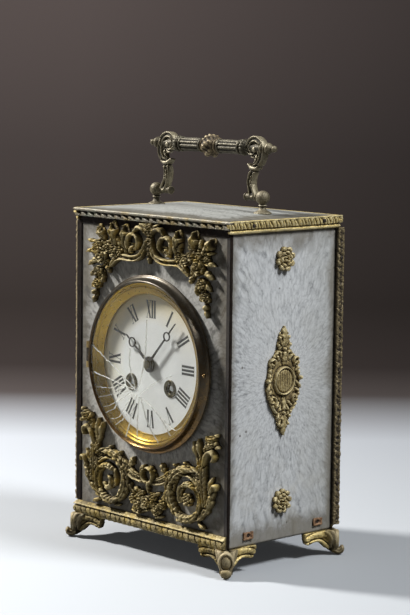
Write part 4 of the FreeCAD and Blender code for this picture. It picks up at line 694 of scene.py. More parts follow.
def garland():
    r = Relief(-61, 61, 134, 190.5)
    for s in r.sides():
        for *line, wide in TRUMPETS[s]:
            r.trumpet(line, wide, 6.6)
        r.leaves(4.8, 3, ((46, 172), (52, 174.6), (58.6, 176), 2), ((47, 168), (53, 169.4), (59, 168), 2.2),
                 ((46, 164), (52, 163), (57.5, 159.5), 2.2), ((45, 160), (51, 157), (55.5, 152.5), 2),
                 ((42, 164), (38.5, 160), (37.2, 155.5), 1.9), ((44, 158), (43, 153), (44, 149), 1.8),
                 ((28, 172), (27.5, 176), (30, 180), 1.7), ((43, 176), (46, 179), (47, 183.5), 1.8))
        r.stroke(((1.4, 181), (3.2, 174.6), (7, 169.6), (12, 167.4), (18, 167), (25, 167.2), (30.5, 165.4),
                  (35.5, 161)),
                 (0.9, 1.4, 1.8, 2, 2.1, 2.1, 1.8, 1), (4.6, 5.2, 5.2, 5, 4.8, 4.4), gutter)
        r.stroke(spiral(14.4, 176.4, (6, 5.9, 5, 3), -70, 290), (0.9, 1.3, 1.2, 0.8), (4.4, 5.2, 4.6))
        r.flower(14.6, 174.2, 2.7, 4.4, 5, 25)
        r.leaf(((19, 170), (16.4, 173.6), (13.6, 175)), 1.6, 4.8, 3)
        r.stroke(((0.8, 181), (2.4, 184), (6, 186.2), (10.4, 186.2), (13.6, 183.4)),
                 (1, 1.3, 1.5, 1.4, 0.7), (5.2, 5.8, 5.6, 4.8))
        r.leaf(((2, 186), (5.6, 188), (9, 189.2)), 1.2, 4.6)
        for x, z, wide, tall in ((27, 170.4, 3, 5.2), (41, 163, 3, 5), (45.6, 173.6, 3.6, 5.8),
                                 (51.4, 171.6, 2.6, 5)):
            r.flower(x, z, wide, tall, 5, 31 * x)
        for x, z, wide, tall in ((33.4, 170.4, 4.2, 5.8), (38.8, 173, 3.8, 6.2), (44.6, 166.6, 5.2, 6.6),
                                 (47.6, 156.2, 4.2, 6)):
            r.rose(x, z, wide, tall, 47 * x + 90 * s)
        r.leaves(4.6, 3, ((48, 153), (51.8, 150), (54, 145.5), 1.8),
                 ((48.4, 152.5), (46.8, 149), (47, 145.4), 1.6),
                 ((50.2, 147), (51, 141.5), (52.8, 136.4), 2.1))
        r.rose(50.0, 148.6, 3.2, 5.4, 70)
        r.bead(51.2, 143.2, 1.7, 5.0)
        r.bead(38.6, 159.4, 1.4, 4.6)
    r.leaf(((0, 176), (0, 170), (0, 164.6)), 2, 4.6, 3)
    for k, (x, wide) in enumerate(((0.3, 2.1), (-0.5, 1.9), (0.5, 2), (-0.3, 1.8), (0, 1.7))):
        r.flower(x, 182.6 - 3.0 * k, wide, 6.0, 5, 40 * k)
    r.flower(0, 186.6, 3.4, 6.2, 5, 90)
    r.roughen(0.2)
    return r


# Mount under the dial
VOLUTE = (36.7, 26.0)


def scrolls():
    r = Relief(-66, 66, 8.4, 71)
    for s in r.sides():
        # Branch that leaves the foot of the volute and ends in a turned leaf
        r.leaf(((44, 14), (48, 11.8), (53, 9.8)), 1.8, 4, 2)
        r.leaf(((36, 13.4), (30, 11.4), (25, 12.4)), 1.7, 3.8, 3)
        r.leaf(((39, 14), (46.5, 15.6), (53.4, 22), (57.4, 30), (60, 38)), 3.1, 5.6, 5,
               (0.4, 0.6, 0.8, 1, 0.95, 0.3), (0.7, 0.85, 0.9, 1, 1))
        r.stroke(((57.6, 33), (60, 37.4), (62.4, 38), (62.2, 35.4)), (1.2, 1.3, 1.1, 0.7), 5.4)
        # Horn: a bundle of stems, pointed leaves, a curl and flowers beside the bezel
        r.leaf(((50, 30), (55, 36), (59.5, 43.5)), 2, 4.4, 3)
        for k in range(4):
            x = 46.9 + 1.75 * k
            r.stroke(((x + 1.2, 24), (x + 0.5, 34), (x, 44), (x - 0.8 + 0.3 * k, 55)), (0.95, 1.1, 1.1, 0.8),
                     (4.6, 5.6, 5.6, 5), chased if k % 2 else rounded)
        r.leaves(5.6, 2, ((46.4, 49), (44.2, 56), (41.8, 63), 1.9),
                 ((48.4, 50), (47.2, 58), (46.2, 65), 1.9), ((51, 52), (52.8, 58), (52.4, 63.5), 1.8))
        r.stroke(((51, 49), (53.6, 55.2), (57.6, 57.8), (60.6, 55.4), (59.4, 52.4)),
                 (1.3, 1.7, 1.6, 1.4, 0.9), (5, 5.8, 5.4))
        for x0, z0, x1, z1 in ((55.5, 61, 53.2, 67.4), (60.5, 62, 64.6, 60.4), (59.5, 66, 63.4, 69.4)):
            r.leaf(bowed((x0, z0), (x1, z1)), 1.7, 5, 2)
        r.flower(54.6, 60.0, 2.4, 5.2, 5, 0)
        r.flower(58.4, 64.2, 3.7, 6.2, 6, 20)
        # Striated ribbon from the top of the volute down to the middle
        for k in range(4):
            d, drop = 1.75 * k, 0.2 * k
            r.stroke(((45.4, 41.6 - d), (38, 45.4 - d), (29, 44.4 - d), (21, 40.2 - d),
                      (13.4, 35.4 - 0.8 * d), (5.6, 32.6 - 0.5 * d)), (0.9, 1.05, 1.05, 1, 0.8),
                     (5.2 - drop, 5.6 - drop, 5.0 - drop), rounded if k % 2 else chased)
        r.leaves(5.2, 3, ((17, 37.6), (14.6, 41), (13, 44.6), 2.5),
                 ((38, 44), (35.4, 46.4), (33.6, 48.8), 2.2), ((7, 34.6), (4.4, 38), (2.4, 41.6), 2.3),
                 ((27, 42.4), (26.2, 44.6), (24.8, 46.4), 2))
        # Leaf from the bouquet up into the volute
        r.leaf(((10, 19), (15, 23), (19, 29), (22.5, 36)), 2.8, 4.6, 5, (0.5, 0.85, 1, 0.9, 0.5))
        # Volute: wide and fluted towards the middle, narrow outside
        r.stroke(spiral(*VOLUTE, (18.5, 17.5, 16.0, 12.8, 11.2, 10.8, 9.4, 8.0, 6.2), 58, 560, 60),
                 (2, 2.9, 3.8, 3.2, 2.3, 1.8, 2.2, 1.9, 1.3), (4.6, 5.4, 5.8, 5.8, 5.4, 5, 5, 4.6),
                 acanthus, -s)
        for a0, a1, r0, r1, wide in ((72, 168, 18.2, 16.4, 3.5), (150, 242, 16.8, 13, 3.5),
                                     (224, 318, 13.9, 11.1, 2.9), (400, 480, 10.2, 8.4, 2.4)):
            r.leaf(spiral(*VOLUTE, (r0, r1), a0, a1, 9)[::-1], wide, 5.9, 6,
                   (0.55, 0.85, 1, 0.95, 0.7, 0.2), (0.9, 1, 1, 0.95), 0.26)
        # Bouquet
        r.leaf(((3, 12.5), (9, 10.4), (15.5, 11.4)), 1.8, 4.2, 3)
        r.leaf(((4, 20), (8, 23.6), (12.5, 26)), 2, 4.4, 3)
        r.flower(13.4, 18.0, 3.4, 4.8, 5, 40)
        r.rose(8.6, 15.0, 4.4, 5.8, 10 + 90 * s)
        r.flower(5.4, 22.0, 3.4, 5.2, 5, 25)
    r.stroke(spiral(0.6, 35, (5.2, 5, 4.4), 150, 470), (0.8, 1.2, 1.2, 0.8), (4.6, 5.2, 4.8))
    r.leaf(((0, 24), (0.5, 27.5), (1, 31)), 1.9, 4.6, 3)
    r.flower(36.7, 25.6, 4.4, 5.0, 6, 0)
    r.leaf(((-42, 23.6), (-38.6, 21.2), (-34.4, 22.8), (-33.8, 27), (-37.4, 29.4)), 2.2, 5.6, 5)
    r.rose(0, 17.4, 5.2, 6.4, 0)
    r.roughen(0.2)
    return r


# Half width of the shield on the sides against its height, both from its middle
SHIELD = ((0, 33.4), (1.8, 31.5), (4.2, 28.4), (5.2, 25), (5.6, 22), (5.8, 19.6), (7.6, 17.2), (9.6, 14.8),
          (10.6, 12.4), (12.4, 8.9), (13.2, 5), (14, 1.5), (14.6, -2), (13.8, -5.9), (13.2, -9.6),
          (11.8, -13.3), (9.6, -16), (8.4, -19.2), (6.2, -21.6), (5.4, -25), (3.8, -28.5), (1.8, -31.5),
          (0, -33.4))


def cartouche():
    r = Relief(-17, 17, -34.5, 34.5, 0.25, level=97.5)
    up = r.z - r.level
    edge = np.array(SHIELD)
    wide = np.interp(-up, -edge[:, 1], edge[:, 0]) + 0.35 * np.sin(2.3 * r.z)
    rho = np.hypot(r.x, up / 1.02)
    r.h = np.where(np.abs(r.x) < wide - 0.3, 1.5, 0.0)
    for v in (1, -1):
        r.leaf(((0, 16.0 * v), (0, 24.0 * v), (0, 33.0 * v)), 4.6, 3.6, 5)
        r.leaf(((0, 9.5 * v), (0, 14.0 * v), (0, 19.6 * v)), 2.6, 3.6, 3)
    for s in r.sides():
        r.h[np.hypot(r.x - s * 10.6, (up - 4.0) / 1.9) < 1.1] = 0.8
        r.stroke(((2.6, 20.4), (5.2, 17.6), (8.6, 13.8), (11, 9), (12.2, 3.4), (12.8, -2.6), (12, -8.8),
                  (9.8, -14), (6.6, -18.4), (2.6, -21)),
                 (0.6, 1, 1.1, 1, 0.9, 1.1, 1.1, 1, 0.6), (2.6, 3.2, 3.4, 3, 3.4, 3.2, 2.6), chased)
        for v in (1, -1):
            curl = spiral(9.4, v * 11.4, (2.6, 2.1, 0.8), 90 - v * 140, 90 + v * 230)
            r.stroke(curl, (0.7, 0.8, 0.6), 3.6)
            for x0, z0, x1, z1 in ((4, 12.6, 7.2, 16), (2.4, 14.4, 4.4, 19.4), (8.6, 8.6, 11.8, 11.6),
                                   (10, 5.4, 13.2, 7), (3.4, 19, 6, 23), (2.6, 24, 4.9, 27.6)):
                r.leaf(bowed((x0, z0 * v), (x1, z1 * v), 0.4 * v), 1.2, 3.3, 2)
        r.bead(13.4, 0.8, 1.4, 4.2)
        r.leaf(((10.6, -1), (12.8, -3.4), (14.4, -6.2)), 1.3, 3.2, 2)
    for v in (1, -1):
        r.bead(0, 19.4 * v, 1.1, 3.8)
    shell = 2.2 + 0.5 * bow(rho / 8.2) + 0.26 * np.cos(2 * np.pi * r.x / 1.5)
    r.h = np.where(rho < 7.6, shell, r.h)
    r.stroke([(7.9 * math.cos(a), 8.1 * math.sin(a)) for a in np.linspace(0, 2 * math.pi, 40)], 0.7, 3.4)
    r.roughen(0.1)
    return r


def rosette(level, petals, turn):
    r = Relief(-8.5, 8.5, -8.5, 8.5, 0.25, level)
    r.flower(0, 0, 7.6, 3.8, petals, turn)
    r.flower(0, 0, 4.9, 4.6, petals - 2, 1.7 * turn)
    for a in 2 * math.pi * np.arange(5) / 5:
        r.bead(1.4 * math.cos(a), 1.4 * math.sin(a), 0.9, 5.0)
    r.roughen(0.16)
    return r


def cast(name, finish, layers, *replaced, slot="gilt_bronze"):
    """A piece on the case, from layers of a relief and the faces that it is laid on."""
    group = Cluster()
    for relief, *mappings in layers:
        group.lay(relief, *mappings)
    group.build(name, finish, "case", slot, *replaced)


cast("garland", dull_gilt, [(garland(), on_front)], "garland_mount")
cast("scroll_work", dull_gilt, [(scrolls(), on_front)], "scroll_mount")
cast("side_shields", lit_side_gilt, [(cartouche(), on_right, on_left)], "cartouches")
cast("side_roses", lit_side_gilt,
     [(rosette(*kind), on_right, on_left) for kind in ((171, 8, 30), (24, 9, 75))], "rosettes")


# Mouldings: a pattern in relief along a strip, mitred at the corners
def moulding(length, z0, z1, pattern, mitre=(True, True)):
    r = Relief(-length / 2 - MOULD_OUT, length / 2 + MOULD_OUT, z0, z1, 0.25)
    across = np.clip((r.z - z0) / (z1 - z0), 0, 1)
    r.h = np.clip(pattern(r.x, across), 0.25, 1.0) * MOULD_OUT
    r.roughen(0.1)
    r.h = np.clip(r.h, 0.8, MOULD_OUT)
    for end, on in zip((-1, 1), mitre):
        past = end * r.x - length / 2
        r.h = np.where(past > (r.h if on else 0.0), 0, r.h)
    return r


def wave_leaf(x, v):
    """A smooth upper band over a row of lobes, with a dark slanting gap above each."""
    phase = ((x + 3.0 * v) / 6.5) % 1.0
    lobe = 0.52 + 0.34 * bow(2 * phase - 1) * bow(v / 0.4 - 0.6)
    lobe = np.where(phase > 1 - 0.56 * np.clip((v - 0.08) / 0.5, 0, 1), 0.26, lobe)
    return np.where(v > 0.6, 0.72 + 0.28 * bow((v - 0.8) / 0.22), lobe)


def leaning_leaf(x, v):
    """Overlapping leaves over a plain fillet."""
    w = np.clip((v - 0.34) / 0.66, 0, 1)
    phase = ((x + 3.0 * w + 0.7 * np.sin(0.31 * x)) / 5.3) % 1.0
    rib = np.exp(-((phase - 0.45 - 0.2 * w) / 0.08) ** 2) * (w < 0.75)
    leaf = 0.5 + 0.46 * bow(2 * phase - 1) * bow(1.7 * w - 0.85) - 0.3 * rib
    fillet = 0.66 * bow((v - 0.15) / 0.2)
    return np.where(v < 0.34, fillet, np.maximum(leaf, np.where(w > 0.88, 0.92, 0.0)))


def laurel(x, v):
    """A swelling band of small leaves, scalloped below, under a plain sloping ledge."""
    phase = ((x + 2.6 * v + 0.6 * np.sin(0.23 * x)) / 4.9) % 1.0
    swell, scallop = bow((v - 0.33) / 0.33), bow(2 * phase - 1)
    gap = np.exp(-((phase - 0.06) / 0.09) ** 2)
    leaf = 0.34 + 0.58 * swell * (0.86 + 0.14 * scallop) - 0.16 * swell * gap
    edge = np.where(v < 0.12, 0.46 + 0.24 * scallop, 0.0)
    return np.where(v > 0.66, 0.98 - 0.62 * (v - 0.66) / 0.34, np.maximum(leaf, edge))


cast("front_top_moulding", silvered,
     [(moulding(WIDE, TOP_LOW, TOP_HIGH, wave_leaf), on_front)], "top_mouldings")
cast("side_top_mouldings", lit_gilt,
     [(moulding(length, TOP_LOW - LEAF_DROP, TOP_HIGH, leaning_leaf), mapping)
      for mapping, length in ((on_right, DEEP), (on_back, WIDE), (on_left, DEEP))], "top_mouldings")
cast("leaf_bottom_mouldings", dull_gilt,
     [(moulding(length, 0.0, LOW_TALL, laurel, mitre), mapping)
      for mapping, length, mitre in ((on_front, WIDE, (True, False)), (on_left, DEEP, (True, True)),
                                     (on_back, WIDE, (False, True)))], "bottom_mouldings")


def upright(near, wide, tall, low=LOW_TALL):
    """A narrow strip that stands up an edge, its outer side scalloped."""
    r = Relief(near, near + wide, low, TOP_LOW - LEAF_DROP, 0.25)
    v = np.clip((r.x - near) / wide, 0, 1)
    phase = ((r.z + 2.4 * v + 0.5 * np.sin(0.23 * r.z)) / 4.2) % 1.0
    r.h = tall * (0.8 + 0.2 * bow(2 * phase - 1) * (0.6 + 0.4 * bow(2 * v - 1)))
    r.roughen(0.25)
    return r


STRIP = 4.0
cast("leaf_uprights", brown_gilt,
     [(upright(near, STRIP, tall), mapping)
      for near, tall, mapping in ((-HALF_D, 5, on_left), (HALF_D - STRIP, 5, on_left),
                                  (-HALF_W, MOULD_OUT, on_back), (HALF_W - STRIP, MOULD_OUT, on_back))],
     "upright_mouldings")
cast("right_back_upright", shaded_gilt, [(upright(HALF_D, 4.8, 3.4, 3.0), on_right)], "upright_mouldings")

# Right sheet: reaches the front corner and is a little dented
sheet = Relief(-43.7, 43.7, 0.3, TOP_LOW - 3.0, 1.25)
sheet.h = np.clip(0.2 + 0.6 * blur(rng.normal(size=sheet.h.shape), 5.0), 0.08, 0.36)
cast("right_sheet", moire_right, [(sheet, on_right)], "right_panel", slot="moire_sheet")


def thin_strip(x0, x1, z0, z1):
    r = Relief(x0, x1, z0, z1, 0.5)
    r.h += 0.42
    r.roughen(0.08)
    return r


# Near-black strips beside and above the front sheet and at the right front corner: the dark wood frame, and
# under the top moulding also painted shade
cast("dark_edging", black_edge,
     [(thin_strip(-71.4, -67.2, LOW_TALL, TOP_LOW - LEAF_DROP), on_front),
      (thin_strip(-67.2, 68.3, TOP_LOW - 4.6, TOP_LOW), on_front),
      (thin_strip(-43.9, -41.9, 0.5, TOP_LOW - 2.6), on_right)], slot="dark_frame")

NAIL_X = 71.6
NAIL = [(1, -0.8), (1.2, 0.2), (1, 0.7), (0.5, 1), (0.1, 1.05)]
nails = Cluster()
for y, z in ((-28, 208), (31, 208.4), (46.4, 185), (46.4, 115), (46.4, 45)):
    nails.turn(NAIL, 20, placed((NAIL_X, y, z), Y, Z, X))
nails.build("moulding_nails", dark_iron, "case", "rusty_iron")


# Handle
def along_x(x, side=1, rise=GRIP_RISE):
    """Lays a turned shape along X, from x towards a side."""
    return placed((x, PIVOT[1], PIVOT[2] + rise), Y, Z, side * X)


def leaned(p):
    """Turned about the handle's pivots to the angle at which it stands."""
    angle = math.radians(-LEAN)
    y, z = p[:, 1] - PIVOT[1], p[:, 2] - PIVOT[2]
    return np.column_stack([p[:, 0], PIVOT[1] + y * math.cos(angle) - z * math.sin(angle),
                            PIVOT[2] + y * math.sin(angle) + z * math.cos(angle)])


def handle_arm():
    r = Relief(28, 50, -3.5, 38, 0.22)
    rho = np.hypot(r.x - ARM_X - 0.4, r.z - GRIP_RISE + 0.6)
    r.h = np.where(rho < 5.8, 1.7, r.h)
    r.stroke(((40.4, 1.4), (39, 4.6), (38, 8.6), (38.4, 12.8), (40.4, 17)), (2.5, 2.3, 2.4, 2.4, 2.1),
             (2.6, 2.7, 2.7, 2.5), gutter)
    r.leaf(((39.6, 3.2), (38.4, 8.6), (39, 14)), 1, 2.7, 4)
    r.leaf(((39.4, 19.5), (41.6, 22.6), (41.4, 26)), 1.7, 2.4, 3)
    r.stroke(((40, 17.8), (43.2, 19.6), (45.6, 23.4), (46, 28.4), (44.2, 32.8), (40.2, 34.9), (36.2, 34),
              (34, 30.8), (34.8, 27.6), (37.4, 26.2), (39.6, 27.6)),
             (1.6, 1.9, 2.1, 2.1, 2, 1.8, 1.5, 1.2), (2.5, 2.75, 2.75, 2.7, 2.6), gutter)
    r.bead(39.4, 28.4, 1.9, 2.75)
    r.stroke(((35.4, 19.4), (38, 17.4), (41.4, 17), (43.4, 17.8)), (0.9, 1.4, 1.4, 0.9), (2.4, 2.75, 2.75))
    return r.mesh(two_sided=True)


SIDES = ((1, "right"), (-1, "left"))
BARREL = [(1.9, 0), (2.4, 0.1), (2.6, 0.6), (2.2, 1.2), (2.2, 8.4), (2.6, 9), (2.4, 9.7), (1.9, 9.8)]
arm_points, arm_faces, arm_wear = handle_arm()
for side, label in SIDES:
    arm = Cluster()
    arm.add(placed(PIVOT, side * X, Z, -Y)(arm_points), arm_faces, arm_wear)
    arm.turn(BARREL, 40, along_x(side * (POST_X - 4.6), -side, 0.0))
    arm.build("handle_scroll_" + label, arm_bronze, "handle", "worn_brass", "handle_arm_" + label,
              moved=leaned)


def fluted(radius, height, angle):
    return radius - 0.85 * np.clip((radius - 3.6) / 0.6, 0, 1) * (1 - np.abs(np.sin(5 * angle))) ** 1.3


def beaded(radius, height, angle):
    return radius * (1 + 0.09 * (np.abs(np.sin(7 * angle)) - 0.4) * np.clip((radius - 4.0) / 0.6, 0, 1))


def twisted(radius, height, angle):
    wave = np.cos(6 * angle + 0.62 * height)
    leaf = np.sign(wave) * np.abs(wave) ** 0.6 + 0.5 * np.cos(13 * angle - 1.3 * height)
    return radius * (1 + 0.085 * (leaf - 0.5) * np.clip((radius - 4.0) / 2.5, 0, 1))


# Turned pieces of each half of the grip: where they start, their profiles and what is cut into them
GRIP = (
    (9.2, [(3.2, 0), (3.9, 0.1), (4.25, 0.8), (4.25, 8), (4.25, 15.6), (3.9, 16.4), (3.2, 16.5)], fluted),
    (7.4, [(2.4, 0), (4.3, 0.2), (4.6, 0.9), (4.2, 1.6), (2.4, 1.8)], None),
    (25.8, [(2.4, 0), (4.3, 0.1), (4.7, 0.7), (4.3, 1.3), (3.2, 1.6), (3, 2.4), (2.4, 2.6)], None),
    (28.4, [(2.4, 0), (4.2, 0.2), (4.9, 1.1), (4.9, 2.2), (4.2, 3.2), (3.4, 3.8), (3.3, 4.6), (2.4, 4.8)],
     beaded))
ROD_R, ROD_END = 2.3, 46.0
sleeves = Cluster()
sleeves.turn([(1.6, -ROD_END), (ROD_R, 0.2 - ROD_END), (ROD_R, 0), (ROD_R, ROD_END - 0.2), (1.6, ROD_END)],
             32, along_x(0.0), step=2.0)
for side in (1, -1):
    for at, profile, wave in GRIP:
        sleeves.turn(profile, 84, along_x(side * at, side), wave)
sleeves.build("grip_fluted_sleeves", pewter, "handle", "worn_brass", "grip_sleeves", "grip_rod",
              moved=leaned)

half_knop = [(2.2, -6.8), (4, -6.6), (4.9, -5.8), (4.3, -5), (6.2, -3.2)]
knop = Cluster()
knop.turn(half_knop + [(7.05, 0)] + [(r, -x) for r, x in half_knop[::-1]], 112, along_x(0.0), twisted)
knop.build("grip_leaf_knop", brown_gilt, "handle", "gilt_bronze", "grip_knop", moved=leaned)

FINIAL_X = 48.0
finials = Cluster()
for side in (1, -1):
    finials.turn([(1.6, -3.4), (3, -3.2), (3.5, -2.2), (2.4, -1.2), (1.9, -0.2), (2.3, 0.6), (3.3, 1.6),
                  (3.4, 2.8), (2.4, 4), (1.2, 4.8), (1, 5.4), (1.7, 6.2), (2, 7.1), (1.5, 8), (0.1, 8.6)],
                 48, along_x(side * FINIAL_X, side))
finials.build("grip_turned_finials", arm_bronze, "handle", "worn_brass", "grip_finials", moved=leaned)

SEAT, BALL_R = Z_TOP + 1.2, 4.3
ball = [(BALL_R * math.cos(a), PIVOT[2] + BALL_R * math.sin(a)) for a in np.linspace(-1.1, 1.56, 12)]
stem = [(r, SEAT + rise) for r, rise in (
    (5.5, 0), (5.5, 0.7), (4.7, 1.3), (3.2, 2), (2.2, 2.9), (1.8, 4), (2, 4.6), (2.7, 5.1), (2.1, 5.7))]
for side, label in SIDES:
    post = Cluster()
    post.turn(stem + ball, 56, placed((side * POST_X, PIVOT[1], 0), X, Y, Z))
    post.build("ball_post_" + label, bronze, "case", "worn_brass", "handle_post_" + label)


# Bezel, sight ring, dial figures: turned about the dial's axis, from the front panel forwards
def on_dial(x, z):
    return placed((x, -HALF_D, z), X, Z, -Y)


bezel = Cluster()
points, faces, _ = lathe(
    [(50.2, 1.8), (54.3, 1.8), (54.7, 2.1), (54.5, 2.6), (53.5, 3.2), (52.7, 4.2), (52.2, 5.4), (51.8, 6.6),
     (51.7, 7.1), (51.4, 7.6), (51, 7.8), (50.6, 7.6), (50.4, 7.2), (50.2, 6.85), (50.2, 1.8)],
    192, None, 0.15)
# Painted reflection round the bezel: its value is lowest at the top, where the ramp gives grey, and highest
# towards the bottom, where it gives copper.
rubbing_and_painted_light = (-0.25 * points[:, 0] - 0.97 * points[:, 1]) / np.hypot(points[:, 0], points[:, 1])
bezel.add(on_dial(0, Z_DIAL)(points), faces, 0.14 + 0.36 * (1 + rubbing_and_painted_light))
# Its lifting knob on the right and its hinge barrel on the left
bezel.turn([(0.7, -0.8), (0.7, 1), (1, 1.6), (1.2, 2.4), (0.8, 2.9), (0.1, 3)], 24,
           placed((52.0, -50.3, Z_DIAL), Y, Z, X))
bezel.turn([(0.85, -4), (1.4, -4), (1.6, -3.8), (1.6, 3.8), (1.4, 4), (0.85, 4), (0.85, -4)], 32,
           placed((-56.9, -46.7, Z_DIAL), X, Y, Z), step=0.4, shine=0.3)
bezel.build("bezel_turned", bezel_gilt, "bezel_door", "gilt_bronze", "bezel")
sight = Cluster()
sight.turn(
    [(50.1, 5.6), (48.7, 5.1), (48.3, 4.4), (47.7, 4.2), (47.3, 4.5), (46.8, 4.2), (46.3, 3.8), (43.6, 2.2),
     (43, 2.2), (43, 1.8), (43.8, 1.8), (50.1, 4.8), (50.1, 5.6)], 192, on_dial(0, Z_DIAL), step=0.4)
sight.build("sight_ring_polished", polished, "bezel_door", "gilt_bronze", "sight_ring")

WINDING_X, WINDING_Z = 17.8, 106.4
# Collets round the winding holes take the dark hand boss finish: tarnished brass, and partly painted shade.
collets = Cluster()
for side in (1, -1):
    collets.turn([(2.9, -0.6), (2.9, 0.7), (3.4, 1.1), (4.4, 1.3), (5.2, 1.1), (5.5, 0.65), (5.5, 0.2),
                  (4.2, 0.2), (3.9, -0.6), (2.9, -0.6)], 48, on_dial(side * WINDING_X, WINDING_Z))
collets.build("winding_collets", boss, "case", "movement_brass")


def bar(x0, z0, x1, z1, thick):
    """A straight stroke as a flat four sided outline."""
    a, b = np.array([x0, z0]), np.array([x1, z1])
    d = (b - a) / np.linalg.norm(b - a)
    n = np.array([-d[1], d[0]]) * thick / 2
    return np.array([a - n, b - n, b + n, a + n])


def thin_plate(cluster, outline, front, depth):
    """A flat outline on the dial's front, from its front face back by a depth."""
    near = np.column_stack([outline[:, 0], np.full(4, front), Z_DIAL + outline[:, 1]])
    faces = [(0, 1, 2, 3), (7, 6, 5, 4)] + [(k, k + 4, (k + 1) % 4 + 4, (k + 1) % 4) for k in range(4)]
    cluster.add(np.vstack([near, near + depth * Y]), faces)


NUMERALS = ("XII", "I", "II", "III", "IIII", "V", "VI", "VII", "VIII", "IX", "X", "XI")
LETTER = {"I": 2.25, "V": 4.5, "X": 4.5}
THICK, HAIR, SERIF, SERIF_REACH = 1.42, 0.32, 0.34, 0.95
FIGURE_TALL, FIGURE_R, DIAL_FACE = 10.6, 33.8, -44.65


def numeral(text):
    """Outlines of a Roman numeral, centred, with thick and thin strokes and serifs."""
    x, half, shapes = -sum(LETTER[c] for c in text) / 2, FIGURE_TALL / 2, []
    for c in text:
        wide = LETTER[c]
        ends = (x + wide / 2,) if c == "I" else (x + 0.75, x + wide - 0.75)
        if c == "I":
            shapes.append(bar(ends[0], -half, ends[0], half, THICK))
        else:
            foot = (x + wide / 2,) * 2 if c == "V" else ends[::-1]
            for top, low, thick in zip(ends, foot, (THICK, HAIR)):
                shapes.append(bar(top, half, low, -half, thick))
        for level in (half, -half):
            if c != "V" or level > 0:
                shapes += [bar(at - SERIF_REACH, level, at + SERIF_REACH, level, SERIF) for at in ends]
        x += wide
    return shapes


figures = Cluster()
for hour, text in enumerate(NUMERALS):
    a = math.radians(30 * hour)
    for shape in numeral(text):
        x, z = shape[:, 0], shape[:, 1] + FIGURE_R
        outline = np.column_stack([x * math.cos(a) + z * math.sin(a), z * math.cos(a) - x * math.sin(a)])
        thin_plate(figures, outline, DIAL_FACE - 0.06, 0.08)
figures.build("dial_figures", ink, "case", "enamel", smooth=False)

# Cracks in the glass: thin bright slivers through its thickness, each with its width
CRACKS = (
    (((-49.2, 7.3), (-34.5, -0.8), (-17, -10.6), (-8, -16)), 0.22),
    (((-46.9, -9.6), (-27.4, -13.3), (-10, -16)), 0.18),
    (((-42.3, -25.3), (-32, -22.4), (-12, -17)), 0.13), (((-37.7, -30.8), (-28.5, -27.5), (-11, -18)), 0.15),
    (((-35.4, -34.1), (-26, -30)), 0.18), (((-30.8, -37.4), (-22.8, -35), (-10, -19)), 0.13),
    (((-26, -40.5), (-16, -32.8), (-8, -19)), 0.15), (((-44.5, -19), (-33, -18), (-14, -16)), 0.11),
    (((-16, -46.5), (-13, -38), (-6, -19)), 0.12), (((-5.6, -48), (-5.6, -36), (-4, -20)), 0.14),
    (((13.9, -46), (4.7, -36), (-3, -20)), 0.14), (((-6, -17), (-1, -4), (1.5, 10), (2.5, 28)), 0.09),
    (((-8, -15), (-13, -2), (-13, 9)), 0.09), (((-3, -18), (12, -9), (27, -3)), 0.09),
    (((-2, -20), (14, -29), (25, -40)), 0.12), (((18, -31), (28, -36), (36, -33)), 0.09),
    (((-24, -12), (-23, -22), (-27, -30)), 0.09))
GLASS_FACE, GLASS_THICK = -50.82, 1.0
cracks = Cluster()
for points, wide in CRACKS:
    line = spline(points, 1.4)
    line[1:-1] += rng.normal(size=(len(line) - 2, 2)) * 0.2
    for a, b in zip(line[:-1], line[1:]):
        thin_plate(cracks, bar(*a, *b, wide), GLASS_FACE, GLASS_THICK)
cracks.build("glass_cracks", crack, "bezel_door", "glass", smooth=False).visible_shadow = False


# Feet
def foot_wing():
    """Scrolled bracket along one face, from the corner inwards, in relief."""
    r = Relief(-4, 23.5, 1.0, Z_BASE, 0.25)
    under = np.interp(r.x, [-4, 1, 4, 7, 10, 14, 17, 20, 22, 23.0, 23.5],
                      [1.6, 3.4, 5.4, 7.6, 9.0, 9.4, 8.6, 8.4, 9.6, 12.0, 16.0])
    deep = np.clip((r.z - under) / 2.0, 0, 1)
    r.h = np.where((r.z > under) & (r.z <= Z_BASE), 1.9 + 1.3 * bow(1 - deep), 0)
    r.stroke(((-3, 13.4), (5, 13.8), (13, 13.7), (19, 13), (21.2, 12.2)), (2, 2.1, 2.1, 2, 1.6),
             (3.6, 3.8, 3.8, 3.7), base=0.7)
    r.stroke(((18, 10.2), (13, 10.6), (9, 9.8), (5.8, 7.6), (2.6, 5.2)), (0.8, 0.9, 1.1, 1.2),
             (3.4, 3.6, 3.8), base=0.7)
    r.roughen(0.2)
    return r.mesh()


def foot_leg():
    """S shaped leg in the diagonal plane: (outward, height, half width, half thickness)."""
    line = spline([(-3.2, 16, 6.6, 3.6), (-0.8, 14.8, 6.4, 3.9), (1, 12.4, 5.8, 4), (1.7, 9.9, 5.2, 3.6),
                   (1.3, 7.4, 4.2, 3), (1.7, 5.3, 3.4, 2.6), (3.2, 3.5, 3, 2.4), (5.2, 2.5, 3.1, 2.35),
                   (6.9, 3, 3.2, 2.2), (7.6, 4.5, 3, 1.6), (7.3, 5.6, 2.2, 0.9)], 0.5)
    count = 40
    angle = np.linspace(0, 2 * np.pi, count, endpoint=False)
    run = np.gradient(line[:, :2], axis=0)
    run /= np.linalg.norm(run, axis=1)[:, None]
    ridge = 1 + 0.07 * np.cos(7 * angle) * (np.cos(angle) > -0.3)
    points = []
    for (out, z, wide, thick), (tx, tz) in zip(line, run):
        normal = thick * np.cos(angle) * ridge
        points.append(np.column_stack([out - normal * tz, wide * np.sin(angle) * ridge, z + normal * tx]))
    points = np.vstack(points)
    points[:, 2] = np.clip(points[:, 2], 0.0, Z_BASE)
    # Its ridges get higher values: wear, and painted highlights.
    return points, quads(len(line), count), np.tile(np.clip(0.5 + 3.0 * (ridge - 1), 0, 1), len(line))


